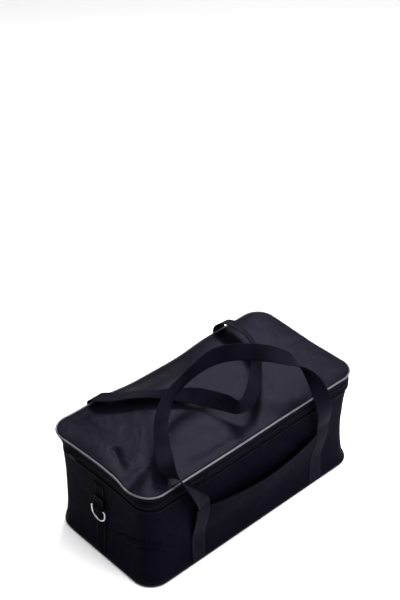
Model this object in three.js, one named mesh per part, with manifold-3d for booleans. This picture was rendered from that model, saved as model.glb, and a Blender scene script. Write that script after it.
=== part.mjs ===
// Soft cooler bag: an insulated box bag with a zipped lid, a front pocket, two webbing
// handles and a ring on each end. Millimetres, +Z up, front towards -Y, length along X,
// origin on the floor under the middle of the bag.
import * as THREE from "three";
import Module from "manifold-3d";
import { mergeVertices } from "three/addons/utils/BufferGeometryUtils.js";

const wasm = await Module();
wasm.setup();

// Body and lid
const bagLength = 500;
const bagDepth = 254;
const cornerRadius = 36;
const lidSeamHeight = 211;
const baseSeamHeight = 4.6;
const lidBandHeight = 21;
const zipOpening = 10;
const wallWaist = 4;
const wallFacets = 4;
const baseFlare = 1;
const lidCrown = 6;
const pipingRadius = 2;
const fabricThickness = 1.2;
const foamThickness = 8;
const linerThickness = 0.8;
const boardThickness = 2;
const seamGap = 0.3;

// Zip
const zipEndFromMiddle = 88;
const coilRadius = 1.1;
const coilParting = 1.2;
const tapeThickness = 0.8;
const tapeInset = 2;
const tapeWidth = 4.5;
const sliderLength = 13;
const sliderPlate = 1.1;
const sliderParkFromMiddle = 80;
const pullLength = 25;
const pullWidth = 7.6;
const pullThickness = 1.2;
const pullEye = 5.3;

// Webbing, handles and pocket. A strap is sewn to its wall up to its loose top, which stands
// off the wall. The pocket is sewn to the front straps and gapes further between them.
const webbingWidth = 30;
const webbingThickness = 1.8;
const frontStrapLeft = -139;
const frontStrapRight = 150;
const frontStrapStandOff = 12;
const frontStrapLoose = 80;
const rearStrapFromMiddle = 150;
const rearStrapLoose = 45;
const freeWebbingBelowLid = 75;
const bendClearance = 0.5;
const pocketDip = 10;
const pocketGape = 14;
const hemHeight = 7;

// End rings
const ringWire = 1.6;
const ringHalfWidth = 17;
const ringDrop = 26;
const ringBarHeight = 112;
const ringPlay = 0.4;
const tabWidth = 25;
const tabRise = 26;
const tabThickness = 1.4;
const endStripTop = 165;

// Values that follow from the sizes above
const halfLength = bagLength / 2;
const halfDepth = bagDepth / 2;
const splitHeight = lidSeamHeight - lidBandHeight - zipOpening / 2;
const wallTop = splitHeight - zipOpening / 2;
const bandBottom = splitHeight + zipOpening / 2;
const wallBottom = baseSeamHeight + pipingRadius + seamGap;
const foamInset = fabricThickness + seamGap;
const linerInset = foamInset + foamThickness + seamGap;
const boardBottom = fabricThickness + seamGap;
const foamBottom = boardBottom + boardThickness + seamGap;
const linerBottom = foamBottom + foamThickness + seamGap;
const foamTop = wallTop - 4;
const linerTop = foamTop + seamGap + linerThickness;
const tapeBottom = linerTop + seamGap;
const coilHeight = coilParting / 2 + coilRadius;
const tapeEdge = coilHeight + coilRadius + seamGap;

// How far the wall stands out from the lid seam's outline at a height. The waist is made of
// straight facets, so that every layer and strap keeps its distance from the next.
function wallOffset(z) {
  const t = THREE.MathUtils.clamp((z - wallBottom) / (wallTop - wallBottom), 0, 1);
  const facet = Math.min(Math.floor(t * wallFacets), wallFacets - 1);
  const offsetAt = (share) => baseFlare * (1 - share) - wallWaist * Math.sin(Math.PI * share);
  const below = offsetAt(facet / wallFacets);
  const above = offsetAt((facet + 1) / wallFacets);
  return THREE.MathUtils.lerp(below, above, t * wallFacets - facet);
}

// The heights at which a wall layer bends between its bottom and its top
function wallHeights(bottom, top) {
  const heights = [bottom];
  for (let i = 1; i < wallFacets; i++) {
    const z = THREE.MathUtils.lerp(wallBottom, wallTop, i / wallFacets);
    if (z > bottom && z < top) heights.push(z);
  }
  return [...heights, top];
}

// Stations round the plan outline from the middle of the left end, past the front, to the
// middle of the right end. Each has its place and its outward direction.
function frontStations(endY) {
  const cornerX = halfLength - cornerRadius;
  const cornerY = halfDepth - cornerRadius;
  const stations = [];
  const add = (x, y, nx, ny) => stations.push({ x, y, nx, ny });
  for (let i = 0; i < 4; i++) {
    add(-halfLength, THREE.MathUtils.lerp(endY, -cornerY, i / 4), -1, 0);
  }
  for (let i = 0; i <= 5; i++) {
    const a = Math.PI + (Math.PI / 2) * (i / 5);
    const [nx, ny] = [Math.cos(a), Math.sin(a)];
    add(-cornerX + cornerRadius * nx, -cornerY + cornerRadius * ny, nx, ny);
  }
  for (let i = 1; i < 8; i++) {
    add(THREE.MathUtils.lerp(-cornerX, cornerX, i / 8), -halfDepth, 0, -1);
  }
  const mirrored = stations.slice(0, 10).reverse();
  return stations.concat(mirrored.map((s) => ({ x: -s.x, y: s.y, nx: -s.nx, ny: s.ny })));
}

// The same stations turned half way round, for what runs past the rear
function rearStations(endY) {
  return frontStations(endY).map((s) => ({ x: -s.x, y: -s.y, nx: -s.nx, ny: -s.ny }));
}

// The whole outline, once round
function outline() {
  return frontStations(0).concat(rearStations(0).slice(1, -1));
}

// A closed solid from rows of points, each row a closed loop with the same count.
// The rows either close on themselves or end in two caps.
function solidFromRows(rows, closed = false) {
  const count = rows[0].length;
  const positions = rows.flat().flatMap((p) => [p.x, p.y, p.z]);
  const index = [];
  const last = closed ? rows.length : rows.length - 1;
  for (let i = 0; i < last; i++) {
    const [a, b] = [i * count, ((i + 1) % rows.length) * count];
    for (let j = 0; j < count; j++) {
      const k = (j + 1) % count;
      index.push(a + j, b + k, b + j, a + j, a + k, b + k);
    }
  }
  if (!closed) {
    addCap(index, rows[0], 0, false);
    addCap(index, rows[rows.length - 1], (rows.length - 1) * count, true);
  }
  const geometry = new THREE.BufferGeometry();
  geometry.setAttribute("position", new THREE.Float32BufferAttribute(positions, 3));
  geometry.setIndex(volumeOf(positions, index) < 0 ? index.reverse() : index);
  return geometry;
}

// Triangles that close one row, worked out in the row's own plane
function addCap(index, row, first, isLast) {
  const normal = new THREE.Vector3();
  row.forEach((p, i) => normal.add(new THREE.Vector3().crossVectors(p, row[(i + 1) % row.length])));
  normal.normalize();
  const side = new THREE.Vector3(0, 0, 1).cross(normal);
  if (side.lengthSq() < 1e-6) side.set(1, 0, 0);
  side.normalize();
  const up = new THREE.Vector3().crossVectors(normal, side);
  const flat = row.map((p) => new THREE.Vector2(p.dot(side), p.dot(up)));
  for (const [a, b, c] of THREE.ShapeUtils.triangulateShape(flat, [])) {
    if (isLast) index.push(first + a, first + b, first + c);
    else index.push(first + a, first + c, first + b);
  }
}

function volumeOf(positions, index) {
  const at = (i) => new THREE.Vector3().fromArray(positions, 3 * i);
  let volume = 0;
  for (let i = 0; i < index.length; i += 3) {
    volume += at(index[i]).dot(at(index[i + 1]).cross(at(index[i + 2])));
  }
  return volume;
}

// A section of points [offset, height] swept along stations of the outline
function sweptBand(stations, section, closed) {
  const rows = stations.map((s) =>
    section.map(([n, z]) => new THREE.Vector3(s.x + s.nx * n, s.y + s.ny * n, z)),
  );
  return solidFromRows(rows, closed);
}

// A plate, tray or tub: closed outlines at [offset, height], capped flat at both ends
function nestedOutlines(levels) {
  const stations = outline();
  return solidFromRows(
    levels.map(([n, z]) =>
      stations.map((s) => new THREE.Vector3(s.x + s.nx * n, s.y + s.ny * n, z)),
    ),
  );
}

// A wall section: up the outer face, down the inner face
function wallSection(outerInset, thickness, bottom, top) {
  const section = wallHeights(bottom, top).map((z) => [wallOffset(z) - outerInset, z]);
  return section.concat([...section].reverse().map(([n, z]) => [n - thickness, z]));
}

function roundSection(offset, height, radius, sides) {
  const section = [];
  for (let i = 0; i < sides; i++) {
    const a = (2 * Math.PI * (i + 0.5)) / sides;
    section.push([offset + radius * Math.cos(a), height + radius * Math.sin(a)]);
  }
  return section;
}

function boxSection(inner, outer, bottom, top) {
  return [[inner, bottom], [outer, bottom], [outer, top], [inner, top]];
}

const group = new THREE.Group();

const fabric = { color: 0x1f1d25, roughness: 0.85, metalness: 0 };
const webbing = { color: 0x18171e, roughness: 0.8, metalness: 0 };
const trim = { color: 0x8f8f93, roughness: 0.6, metalness: 0 };
const foam = { color: 0xe4e2dc, roughness: 0.95, metalness: 0 };
const liner = { color: 0xc9ccd0, roughness: 0.35, metalness: 0.1 };
const board = { color: 0x6a6a6c, roughness: 0.7, metalness: 0 };
const zipCoil = { color: 0x101014, roughness: 0.45, metalness: 0 };
const blackMetal = { color: 0x17171a, roughness: 0.4, metalness: 0.8 };
const steel = { color: 0xc8cacd, roughness: 0.22, metalness: 1 };

function addNode(name, geometry, look, parent = group) {
  const mesh = new THREE.Mesh(geometry, new THREE.MeshStandardMaterial(look));
  mesh.name = name;
  parent.add(mesh);
  return mesh;
}

// The bottom: a fabric panel on the floor, its piping, a stiffener and a foam slab
function addBase() {
  const edgeRise = 1.1;
  const dishWidth = 7;
  addNode(
    "base_panel",
    nestedOutlines([
      [-dishWidth, 0],
      [-0.5, edgeRise],
      [-0.5, edgeRise + fabricThickness],
      [-dishWidth - 0.5, fabricThickness],
    ]),
    fabric,
  );
  const pipingSection = roundSection(baseFlare, baseSeamHeight, pipingRadius, 6);
  addNode("base_piping", sweptBand(outline(), pipingSection, true), trim);
  const boardInset = -dishWidth - 1;
  addNode(
    "base_board",
    nestedOutlines([[boardInset, boardBottom], [boardInset, boardBottom + boardThickness]]),
    board,
  );
  const slabInset = wallOffset(linerBottom) - linerInset;
  addNode(
    "foam_base",
    nestedOutlines([[slabInset, foamBottom], [slabInset, foamBottom + foamThickness]]),
    foam,
  );
}

// The walls: outer fabric in a front and a rear half that meet at the middle of each end,
// one foam wrap behind them and a liner tub inside that
function addWalls() {
  const skin = wallSection(0, fabricThickness, wallBottom, wallTop);
  addNode("front_wall", sweptBand(frontStations(-seamGap / 2), skin, false), fabric);
  addNode("rear_wall", sweptBand(rearStations(-seamGap / 2), skin, false), fabric);
  const wrap = wallSection(foamInset, foamThickness, wallBottom, foamTop);
  addNode("foam_wall", sweptBand(outline(), wrap, true), foam);
  addNode("liner_tub", linerTub(), liner);
  const flangeEdge = -foamInset - 1;
  addNode(
    "rim_binding",
    sweptBand(
      outline(),
      boxSection(-linerInset + 0.5, flangeEdge, linerTop + seamGap, linerTop + seamGap + 1.4),
      true,
    ),
    webbing,
  );
}

// The liner is one welded tub whose top edge turns out over the foam
function linerTub() {
  const flangeBottom = foamTop + seamGap;
  const outer = wallHeights(linerBottom, flangeBottom).map((z) => [wallOffset(z) - linerInset, z]);
  const inner = outer.map(([n, z]) => [n - linerThickness, z]).reverse();
  inner[0][1] = linerTop;
  inner[inner.length - 1][1] = linerBottom + linerThickness;
  const flange = [[-foamInset, flangeBottom], [-foamInset, linerTop]];
  return nestedOutlines([...outer, ...flange, ...inner]);
}

// The zip: tape and coil halves either side of the parting line, round the front and ends.
// Past its two ends a strip of fabric joins lid and wall and bends as the hinge.
function addZip() {
  const run = frontStations(zipEndFromMiddle);
  const tape = (bottom, top) =>
    boxSection(-tapeInset - tapeThickness / 2, -tapeInset + tapeThickness / 2, bottom, top);
  const lowerTape = tape(tapeBottom, splitHeight - tapeEdge);
  const upperTape = tape(splitHeight + tapeEdge, splitHeight + tapeEdge + tapeWidth);
  addNode("zip_tape_lower", sweptBand(run, lowerTape, false), webbing);
  addNode("zip_tape_upper", sweptBand(run, upperTape, false), webbing);
  const lowerCoil = roundSection(-tapeInset, splitHeight - coilHeight, coilRadius, 6);
  const upperCoil = roundSection(-tapeInset, splitHeight + coilHeight, coilRadius, 6);
  addNode("zip_coil_lower", sweptBand(run, lowerCoil, false), zipCoil);
  addNode("zip_coil_upper", sweptBand(run, upperCoil, false), zipCoil);
  const hinge = rearStations(-zipEndFromMiddle - seamGap);
  const lowerHinge = tape(tapeBottom, splitHeight - bendClearance);
  const upperHinge = tape(splitHeight + bendClearance, splitHeight + tapeEdge + tapeWidth);
  addNode("hinge_fabric_lower", sweptBand(hinge, lowerHinge, false), fabric);
  addNode("hinge_fabric_upper", sweptBand(hinge, upperHinge, false), fabric);
}

// Height of the lid's top surface on a ring at a share of the outline's size
function crownHeight(share) {
  return lidSeamHeight + lidCrown * (1 - share ** 5);
}

// Rings of the outline, shrunk to shares of its size and lowered by a depth
function crownRings(inset, shares, depth) {
  return shares.map((share) =>
    outline().map(
      (s) =>
        new THREE.Vector3(
          (s.x + s.nx * inset) * share,
          (s.y + s.ny * inset) * share,
          crownHeight(share) - depth,
        ),
    ),
  );
}

// The lid: crowned top, piping, band, foam slab and liner
function addLid() {
  const topInset = -pipingRadius - seamGap;
  const shares = [1, 0.96, 0.88, 0.72, 0.45];
  const top = crownRings(topInset, [...shares].reverse(), 0);
  const under = crownRings(topInset, shares, fabricThickness);
  addNode("lid_top", solidFromRows([...top, ...under]), fabric);
  const pipingSection = roundSection(0, lidSeamHeight, pipingRadius, 6);
  addNode("lid_piping", sweptBand(outline(), pipingSection, true), trim);
  const bandTop = lidSeamHeight - pipingRadius - seamGap;
  const band = boxSection(-fabricThickness, 0, bandBottom, bandTop);
  addNode("lid_band", sweptBand(outline(), band, true), fabric);
  const slabTop = crownRings(topInset, [0.4, 0.7, 0.9, 1], fabricThickness + seamGap);
  const slabBottom = slabTop[3].map((p) => p.clone().setZ(lidSeamHeight - foamThickness - 2.5));
  addNode("lid_foam", solidFromRows([...slabTop, slabBottom]), foam);
  addNode("lid_liner", lidLiner(), liner);
}

// The lid's liner: a shallow tray, open side down, inside the band
function lidLiner() {
  const outer = -foamInset;
  const inner = outer - linerThickness;
  const skirtBottom = splitHeight + tapeEdge + tapeWidth + seamGap;
  const trayTop = lidSeamHeight - foamThickness - 2.5 - seamGap;
  return nestedOutlines([
    [outer - 3, trayTop],
    [outer, trayTop],
    [outer, skirtBottom],
    [inner, skirtBottom],
    [inner, trayTop - linerThickness],
  ]);
}

// A flat strip through stations, each with a centre and a direction across the strip. The
// two ends are cut along their own direction across.
function stripThrough(stations, width, thickness) {
  const rows = stations.map(({ centre, across }, i) => {
    const before = stations[Math.max(i - 1, 0)].centre;
    const after = stations[Math.min(i + 1, stations.length - 1)].centre;
    const along = after.clone().sub(before).normalize();
    const isEnd = i === 0 || i === stations.length - 1;
    const slant = isEnd ? 0 : across.dot(along);
    const side = across.clone().addScaledVector(along, -slant).normalize();
    const face = new THREE.Vector3().crossVectors(along, side).setLength(thickness / 2);
    const edge = side.multiplyScalar(width / 2);
    return [
      centre.clone().add(edge).add(face),
      centre.clone().sub(edge).add(face),
      centre.clone().sub(edge).sub(face),
      centre.clone().add(edge).sub(face),
    ];
  });
  return solidFromRows(rows);
}

// Distance from the bag's middle to the back of a strap: on the wall where it is sewn, and
// further out over its loose top
function strapFace(z, top, standOff, loose) {
  const onWall = halfDepth + wallOffset(z) + seamGap;
  const lift = THREE.MathUtils.smoothstep(z, top - loose, top);
  return THREE.MathUtils.lerp(onWall, halfDepth + standOff, lift);
}

// Webbing sewn flat to a wall, with a loose top
function wallStrap(x, side, bottom, top, standOff, loose) {
  const stations = [];
  const steps = 8;
  for (let i = 0; i <= steps; i++) {
    const z = THREE.MathUtils.lerp(bottom, top, i / steps);
    const y = side * (strapFace(z, top, standOff, loose) + webbingThickness / 2);
    stations.push({ centre: new THREE.Vector3(x, y, z), across: new THREE.Vector3(1, 0, 0) });
  }
  return stripThrough(stations, webbingWidth, webbingThickness);
}

const strapBottom = wallBottom + 1;
const frontBendHeight = lidSeamHeight - freeWebbingBelowLid;
const rearStrapStandOff = pipingRadius + seamGap;
const frontWebY = halfDepth + frontStrapStandOff + webbingThickness / 2;
const rearWebY = halfDepth + rearStrapStandOff + webbingThickness / 2;
const rearBendHeight = lidSeamHeight + pipingRadius + 1;

// The four sewn straps that carry the handles
function addStraps() {
  const top = frontBendHeight - bendClearance;
  for (const [name, x] of [["left", frontStrapLeft], ["right", frontStrapRight]]) {
    const strap = wallStrap(x, -1, strapBottom, top, frontStrapStandOff, frontStrapLoose);
    addNode(`front_strap_${name}`, strap, webbing);
  }
  for (const [name, side] of [["left", -1], ["right", 1]]) {
    const x = side * rearStrapFromMiddle;
    const rearTop = splitHeight - bendClearance;
    const rear = wallStrap(x, 1, strapBottom, rearTop, rearStrapStandOff, rearStrapLoose);
    addNode(`rear_strap_${name}`, rear, webbing);
    const across = new THREE.Vector3(1, 0, 0);
    const leg = [splitHeight + bendClearance, rearBendHeight - bendClearance].map((z) => ({
      centre: new THREE.Vector3(x, rearWebY, z),
      across,
    }));
    addNode(`rear_leg_${name}`, stripThrough(leg, webbingWidth, webbingThickness), webbing);
  }
}

// A handle through chosen places. Each place is [share of the span between the straps,
// distance in from the bag's edge, height above the lid seam] and the strip's direction
// across, so the handle follows the straps, the edge and the lid when they move.
function handleStrip(places, startX, endX, side, steps) {
  const toCentre = ([share, inward, rise]) =>
    new THREE.Vector3(
      THREE.MathUtils.lerp(startX, endX, share),
      side * (halfDepth - inward),
      lidSeamHeight + rise,
    );
  const centres = places.map(toCentre);
  const centreCurve = new THREE.CatmullRomCurve3(centres, false, "centripetal");
  const acrossCurve = new THREE.CatmullRomCurve3(
    places.map(([, , , x, y, z]) => new THREE.Vector3(x, y, z).normalize()),
  );
  const stations = [];
  for (let i = 0; i <= steps; i++) {
    const t = i / steps;
    stations.push({ centre: centreCurve.getPoint(t), across: acrossCurve.getPoint(t) });
  }
  return stripThrough(stations, webbingWidth, webbingThickness);
}

// The front handle stands in an arch that leans back over the lid. Its left leg leans out
// towards the corner and turns over as it passes the lid's edge. Its right leg turns over
// above the lid and comes down clear of the wall.
function addFrontHandle() {
  const foot = -freeWebbingBelowLid + bendClearance;
  const inward = halfDepth - frontWebY;
  const places = [
    [0, inward, foot, -1, 0, 0],
    [0, inward, foot + 9, -1, -0.03, 0],
    [-0.015, -17, -57, -0.96, -0.27, 0],
    [-0.047, -22, -44, -0.86, -0.5, 0],
    [-0.097, -26, -21, -0.65, -0.75, -0.08],
    [-0.138, -20, 0, -0.38, -0.92, 0.1],
    [-0.166, -4, 19, -0.36, -0.76, 0.55],
    [-0.173, 12, 27, 0.34, -0.36, 0.87],
    [-0.156, 30, 30, 0.86, -0.44, 0.26],
    [-0.114, 48, 31, 0.81, -0.55, -0.2],
    [-0.059, 70, 32, 0.72, -0.49, -0.48],
    [0.007, 94, 36, 0.6, -0.52, -0.6],
    [0.114, 120, 43, 0.25, -0.48, -0.84],
    [0.25, 138, 50, 0.1, -0.05, -0.99],
    [0.488, 146, 62, 0, -0.15, -0.99],
    [0.612, 140, 67, 0, -0.52, -0.85],
    [0.736, 114, 71, -0.03, -0.65, -0.76],
    [0.827, 81, 72, -0.5, -0.6, -0.6],
    [0.889, 55, 68, -0.8, -0.54, -0.26],
    [0.948, 30, 53, -0.41, -0.69, 0.59],
    [0.972, 11, 36, 0.19, -0.68, 0.71],
    [0.976, -3, 20, 0.53, -0.67, 0.53],
    [0.971, -16, 3, 0.82, -0.52, 0.25],
    [0.969, -22, -11, 0.94, -0.33, 0],
    [0.983, -20, -39, 1, -0.1, 0],
    [1, inward, foot + 9, 1, 0, 0],
    [1, inward, foot, 1, 0, 0],
  ];
  const strip = handleStrip(places, frontStrapLeft, frontStrapRight, -1, 75);
  addNode("front_handle", strip, webbing);
}

// The rear handle comes over the rear edge, lies forward on the lid to a turned fold under
// the front handle, and goes back standing half on its edge
function addRearHandle() {
  const foot = rearBendHeight - lidSeamHeight + bendClearance;
  const inward = halfDepth - rearWebY;
  const places = [
    [0, inward, foot, 1, 0, 0],
    [0, inward, foot + 3, 1, 0, 0],
    [0.003, 4, foot + 8, 1, 0, 0.02],
    [0.02, 15, 15, 0.97, 0.25, 0.05],
    [0.075, 30, 15.5, 0.87, 0.47, 0.12],
    [0.165, 49, 16, 0.78, 0.58, 0.2],
    [0.283, 80, 17, 0.75, 0.5, 0.35],
    [0.407, 130, 22, 0.66, 0.46, 0.58],
    [0.47, 185, 30, 0.4, 0.35, 0.84],
    [0.49, 211, 34, -0.05, 0.05, 1],
    [0.56, 211, 39, -0.35, 0.45, 0.82],
    [0.657, 194, 43, -0.6, 0.42, 0.68],
    [0.793, 159, 41, -0.6, 0.22, 0.75],
    [0.92, 119, 37, -0.6, 0.15, 0.78],
    [0.98, 77, 34, -0.75, 0, 0.66],
    [1.005, 29, 30, -0.93, -0.1, 0.35],
    [1.003, 5, 19, -1, 0, 0.1],
    [1, inward, foot + 3, -1, 0, 0],
    [1, inward, foot, -1, 0, 0],
  ];
  const strip = handleStrip(places, -rearStrapFromMiddle, rearStrapFromMiddle, 1, 52);
  addNode("rear_handle", strip, webbing);
}

// The pocket: a panel between the front straps that gapes at its dipped top edge
function addPocket() {
  const left = frontStrapLeft + webbingWidth / 2 + seamGap;
  const right = frontStrapRight - webbingWidth / 2 - seamGap;
  const strapTop = frontBendHeight - bendClearance;
  const steps = 12;
  const edgeHeight = (u) => frontBendHeight - pocketDip * Math.sin(Math.PI * u);
  const stand = (u, z, height) => {
    const v = THREE.MathUtils.clamp((z - strapBottom) / (height - strapBottom), 0, 1);
    return pocketGape * Math.sin(Math.PI * u) ** 0.8 * v ** 1.5;
  };
  const face = (u, z, out) => {
    const x = THREE.MathUtils.lerp(left, right, u);
    const besideStraps = strapFace(z, strapTop, frontStrapStandOff, frontStrapLoose);
    return new THREE.Vector3(x, -(besideStraps + stand(u, z, edgeHeight(u)) + out), z);
  };
  const sheet = (heightsAt, inner, outer) => {
    const rows = [];
    for (let i = 0; i <= steps; i++) {
      const u = i / steps;
      const heights = heightsAt(u);
      const outside = heights.map((z) => face(u, z, outer));
      const inside = heights.reverse().map((z) => face(u, z, inner));
      rows.push([...outside, ...inside]);
    }
    return solidFromRows(rows);
  };
  const hemHeights = (u) => [edgeHeight(u) - hemHeight, edgeHeight(u)];
  const panelHeights = (u) => {
    const [hemBottom, edge] = hemHeights(u);
    const below = [0, 0.22, 0.44, 0.64, 0.83, 1];
    return [...below.map((v) => THREE.MathUtils.lerp(strapBottom, hemBottom, v)), edge];
  };
  addNode("front_pocket", sheet(panelHeights, 0, fabricThickness), fabric);
  const hemInner = fabricThickness + seamGap;
  addNode("pocket_hem", sheet(hemHeights, hemInner, hemInner + 0.8), webbing);
}

// One end: a strip over the side seam, a folded webbing tab sewn on it and the ring that
// hangs in the tab's loop. Built on the right, turned half round for the left.
function addEnd(name, turn) {
  const end = new THREE.Group();
  end.rotation.z = turn;
  group.add(end);
  const stripThickness = 1;
  const stripStations = [];
  for (let i = 0; i <= 6; i++) {
    const z = THREE.MathUtils.lerp(strapBottom, endStripTop, i / 6);
    const x = halfLength + wallOffset(z) + seamGap + stripThickness / 2;
    stripStations.push({ centre: new THREE.Vector3(x, 0, z), across: new THREE.Vector3(0, 1, 0) });
  }
  addNode(`end_strip_${name}`, stripThrough(stripStations, tabWidth, stripThickness), webbing, end);

  const loopRadius = ringWire + ringPlay + tabThickness;
  const tabBack = halfLength + wallOffset(ringBarHeight + tabRise) + 2 * seamGap + stripThickness;
  const barX = tabBack + loopRadius;
  const tab = new THREE.Shape();
  tab.moveTo(tabBack, ringBarHeight + tabRise);
  tab.lineTo(tabBack, ringBarHeight);
  tab.absarc(barX, ringBarHeight, loopRadius, Math.PI, 2 * Math.PI, false);
  tab.lineTo(tabBack + 2 * tabThickness, ringBarHeight + loopRadius * 3);
  tab.lineTo(tabBack + 2 * tabThickness, ringBarHeight + tabRise);
  const hole = new THREE.Path();
  hole.absarc(barX, ringBarHeight, ringWire + ringPlay, 0, 2 * Math.PI, true);
  tab.holes.push(hole);
  const tabSolid = new THREE.ExtrudeGeometry(tab, {
    depth: tabWidth,
    bevelEnabled: false,
    curveSegments: 6,
  });
  tabSolid.rotateX(Math.PI / 2);
  tabSolid.translate(0, tabWidth / 2, 0);
  addNode(`ring_tab_${name}`, tabSolid, webbing, end);
  addNode(`ring_${name}`, ringSolid(barX), steel, end);
}

// A D ring of round wire, hanging from its straight bar
function ringSolid(barX) {
  const corner = 3;
  const sideEnd = ringDrop - ringHalfWidth;
  const path = new THREE.Path();
  path.moveTo(corner - ringHalfWidth, 0);
  path.lineTo(ringHalfWidth - corner, 0);
  path.absarc(ringHalfWidth - corner, -corner, corner, Math.PI / 2, 0, true);
  path.lineTo(ringHalfWidth, -sideEnd);
  path.absarc(0, -sideEnd, ringHalfWidth, 0, -Math.PI, true);
  path.lineTo(-ringHalfWidth, -corner);
  path.absarc(corner - ringHalfWidth, -corner, corner, Math.PI, Math.PI / 2, true);
  const points = path.getPoints(5).filter((p, i, all) => i === 0 || p.distanceTo(all[i - 1]) > 0.1);
  if (points[0].distanceTo(points[points.length - 1]) < 0.1) points.pop();
  const sides = 6;
  const rows = points.map((p, i) => {
    const before = points[(i + points.length - 1) % points.length];
    const after = points[(i + 1) % points.length];
    const along = after.clone().sub(before).normalize();
    const row = [];
    for (let k = 0; k < sides; k++) {
      const a = (2 * Math.PI * k) / sides;
      const sideways = ringWire * Math.cos(a);
      row.push(
        new THREE.Vector3(
          barX + ringWire * Math.sin(a),
          p.x + sideways * along.y,
          ringBarHeight + p.y - sideways * along.x,
        ),
      );
    }
    return row;
  });
  return solidFromRows(rows, true);
}

function toManifold(geometry) {
  const bare = geometry.clone();
  bare.deleteAttribute("normal");
  bare.deleteAttribute("uv");
  const merged = mergeVertices(bare, 1e-5);
  const mesh = new wasm.Mesh({
    numProp: 3,
    vertProperties: new Float32Array(merged.attributes.position.array),
    triVerts: new Uint32Array(merged.index.array),
  });
  return new wasm.Manifold(mesh);
}

function fromManifold(manifold) {
  const { vertProperties, triVerts } = manifold.getMesh();
  const geometry = new THREE.BufferGeometry();
  geometry.setAttribute("position", new THREE.BufferAttribute(vertProperties, 3));
  geometry.setIndex(new THREE.BufferAttribute(triVerts, 1));
  return geometry;
}

// An outline drawn in the end's plane, y along the zip and z up, thickened outwards
function platePiece(shape, inner, outer) {
  const plate = new THREE.ExtrudeGeometry(shape, {
    depth: outer - inner,
    bevelEnabled: false,
    curveSegments: 4,
  });
  plate.rotateX(Math.PI / 2);
  plate.rotateZ(Math.PI / 2);
  plate.translate(inner, 0, 0);
  return plate;
}

// A zip slider about its own middle: two plates, the post that parts the coils, lips that
// hold the lower coil, and the bridge over which the pull hooks
function sliderSolid() {
  const nose = 3.1;
  const tail = 4.2;
  const half = sliderLength / 2;
  const shield = new THREE.Shape();
  shield.moveTo(-half, nose - 1);
  shield.quadraticCurveTo(-half, nose, 1 - half, nose);
  shield.lineTo(half - 2, tail);
  shield.quadraticCurveTo(half, tail, half, tail - 2);
  shield.lineTo(half, 2 - tail);
  shield.quadraticCurveTo(half, -tail, half - 2, -tail);
  shield.lineTo(1 - half, -nose);
  shield.quadraticCurveTo(-half, -nose, -half, 1 - nose);
  const faceClear = coilRadius + seamGap;
  const outerFace = faceClear + sliderPlate;
  const postHalf = coilParting / 2 - 0.2;
  const post = new THREE.Shape();
  post.moveTo(half - 6.5, 0);
  post.lineTo(half - 4, -postHalf);
  post.lineTo(half - 1, -postHalf);
  post.lineTo(half - 1, postHalf);
  post.lineTo(half - 4, postHalf);
  const lip = new THREE.Shape();
  lip.moveTo(2 - half, -nose);
  lip.lineTo(half - 2.5, -tail + 0.1);
  lip.lineTo(half - 2.5, -tail + 0.9);
  lip.lineTo(2 - half, -nose + 0.5);
  const lipClear = tapeThickness / 2 + seamGap;
  const bridge = new THREE.Shape();
  const [reach, rise, bar] = [bridgeReach, bridgeRise, 1.1];
  bridge.moveTo(-reach, outerFace - 0.2);
  bridge.lineTo(-reach, outerFace + rise - 1);
  bridge.quadraticCurveTo(-reach, outerFace + rise, 1 - reach, outerFace + rise);
  bridge.lineTo(reach - 1, outerFace + rise);
  bridge.quadraticCurveTo(reach, outerFace + rise, reach, outerFace + rise - 1);
  bridge.lineTo(reach, outerFace - 0.2);
  bridge.lineTo(reach - bar, outerFace - 0.2);
  bridge.lineTo(reach - bar, outerFace + rise - bar);
  bridge.lineTo(bar - reach, outerFace + rise - bar);
  bridge.lineTo(bar - reach, outerFace - 0.2);
  const bridgeWidth = 2.2;
  const bridgeSolid = new THREE.ExtrudeGeometry(bridge, {
    depth: bridgeWidth,
    bevelEnabled: false,
    curveSegments: 4,
  });
  bridgeSolid.translate(0, 0, -bridgeWidth / 2);
  bridgeSolid.rotateZ(-Math.PI / 2);
  const joined = toManifold(platePiece(shield, faceClear, outerFace))
    .add(toManifold(platePiece(shield, -outerFace, -faceClear)))
    .add(toManifold(platePiece(post, -faceClear - 0.2, faceClear + 0.2)))
    .add(toManifold(platePiece(lip, lipClear, faceClear + 0.2)))
    .add(toManifold(platePiece(lip, -faceClear - 0.2, -lipClear)))
    .add(toManifold(bridgeSolid));
  return fromManifold(joined);
}

const bridgeReach = 4.2;
const bridgeRise = 3.7;
const pullStand = coilRadius + seamGap + sliderPlate + 1.2;

// A pull about its hinge: a tapered tab with an eye round the slider's bridge
function pullSolid() {
  const halfWide = pullWidth / 2;
  const eyeHalf = 1.9;
  const bar = pullThickness / 2;
  const tab = new THREE.Shape();
  tab.moveTo(bar, halfWide - 1);
  tab.quadraticCurveTo(bar, halfWide, bar - 1, halfWide);
  tab.lineTo(-pullLength + 3, 2.6);
  tab.absarc(3 - pullLength, 0, 2.6, Math.PI / 2, (3 * Math.PI) / 2, false);
  tab.lineTo(bar - 1, -halfWide);
  tab.quadraticCurveTo(bar, -halfWide, bar, 1 - halfWide);
  const eye = new THREE.Path();
  eye.moveTo(-bar, -eyeHalf);
  eye.lineTo(-bar - pullEye, -eyeHalf);
  eye.lineTo(-bar - pullEye, eyeHalf);
  eye.lineTo(-bar, eyeHalf);
  tab.holes.push(eye);
  return platePiece(tab, -pullThickness / 2, pullThickness / 2);
}

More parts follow.
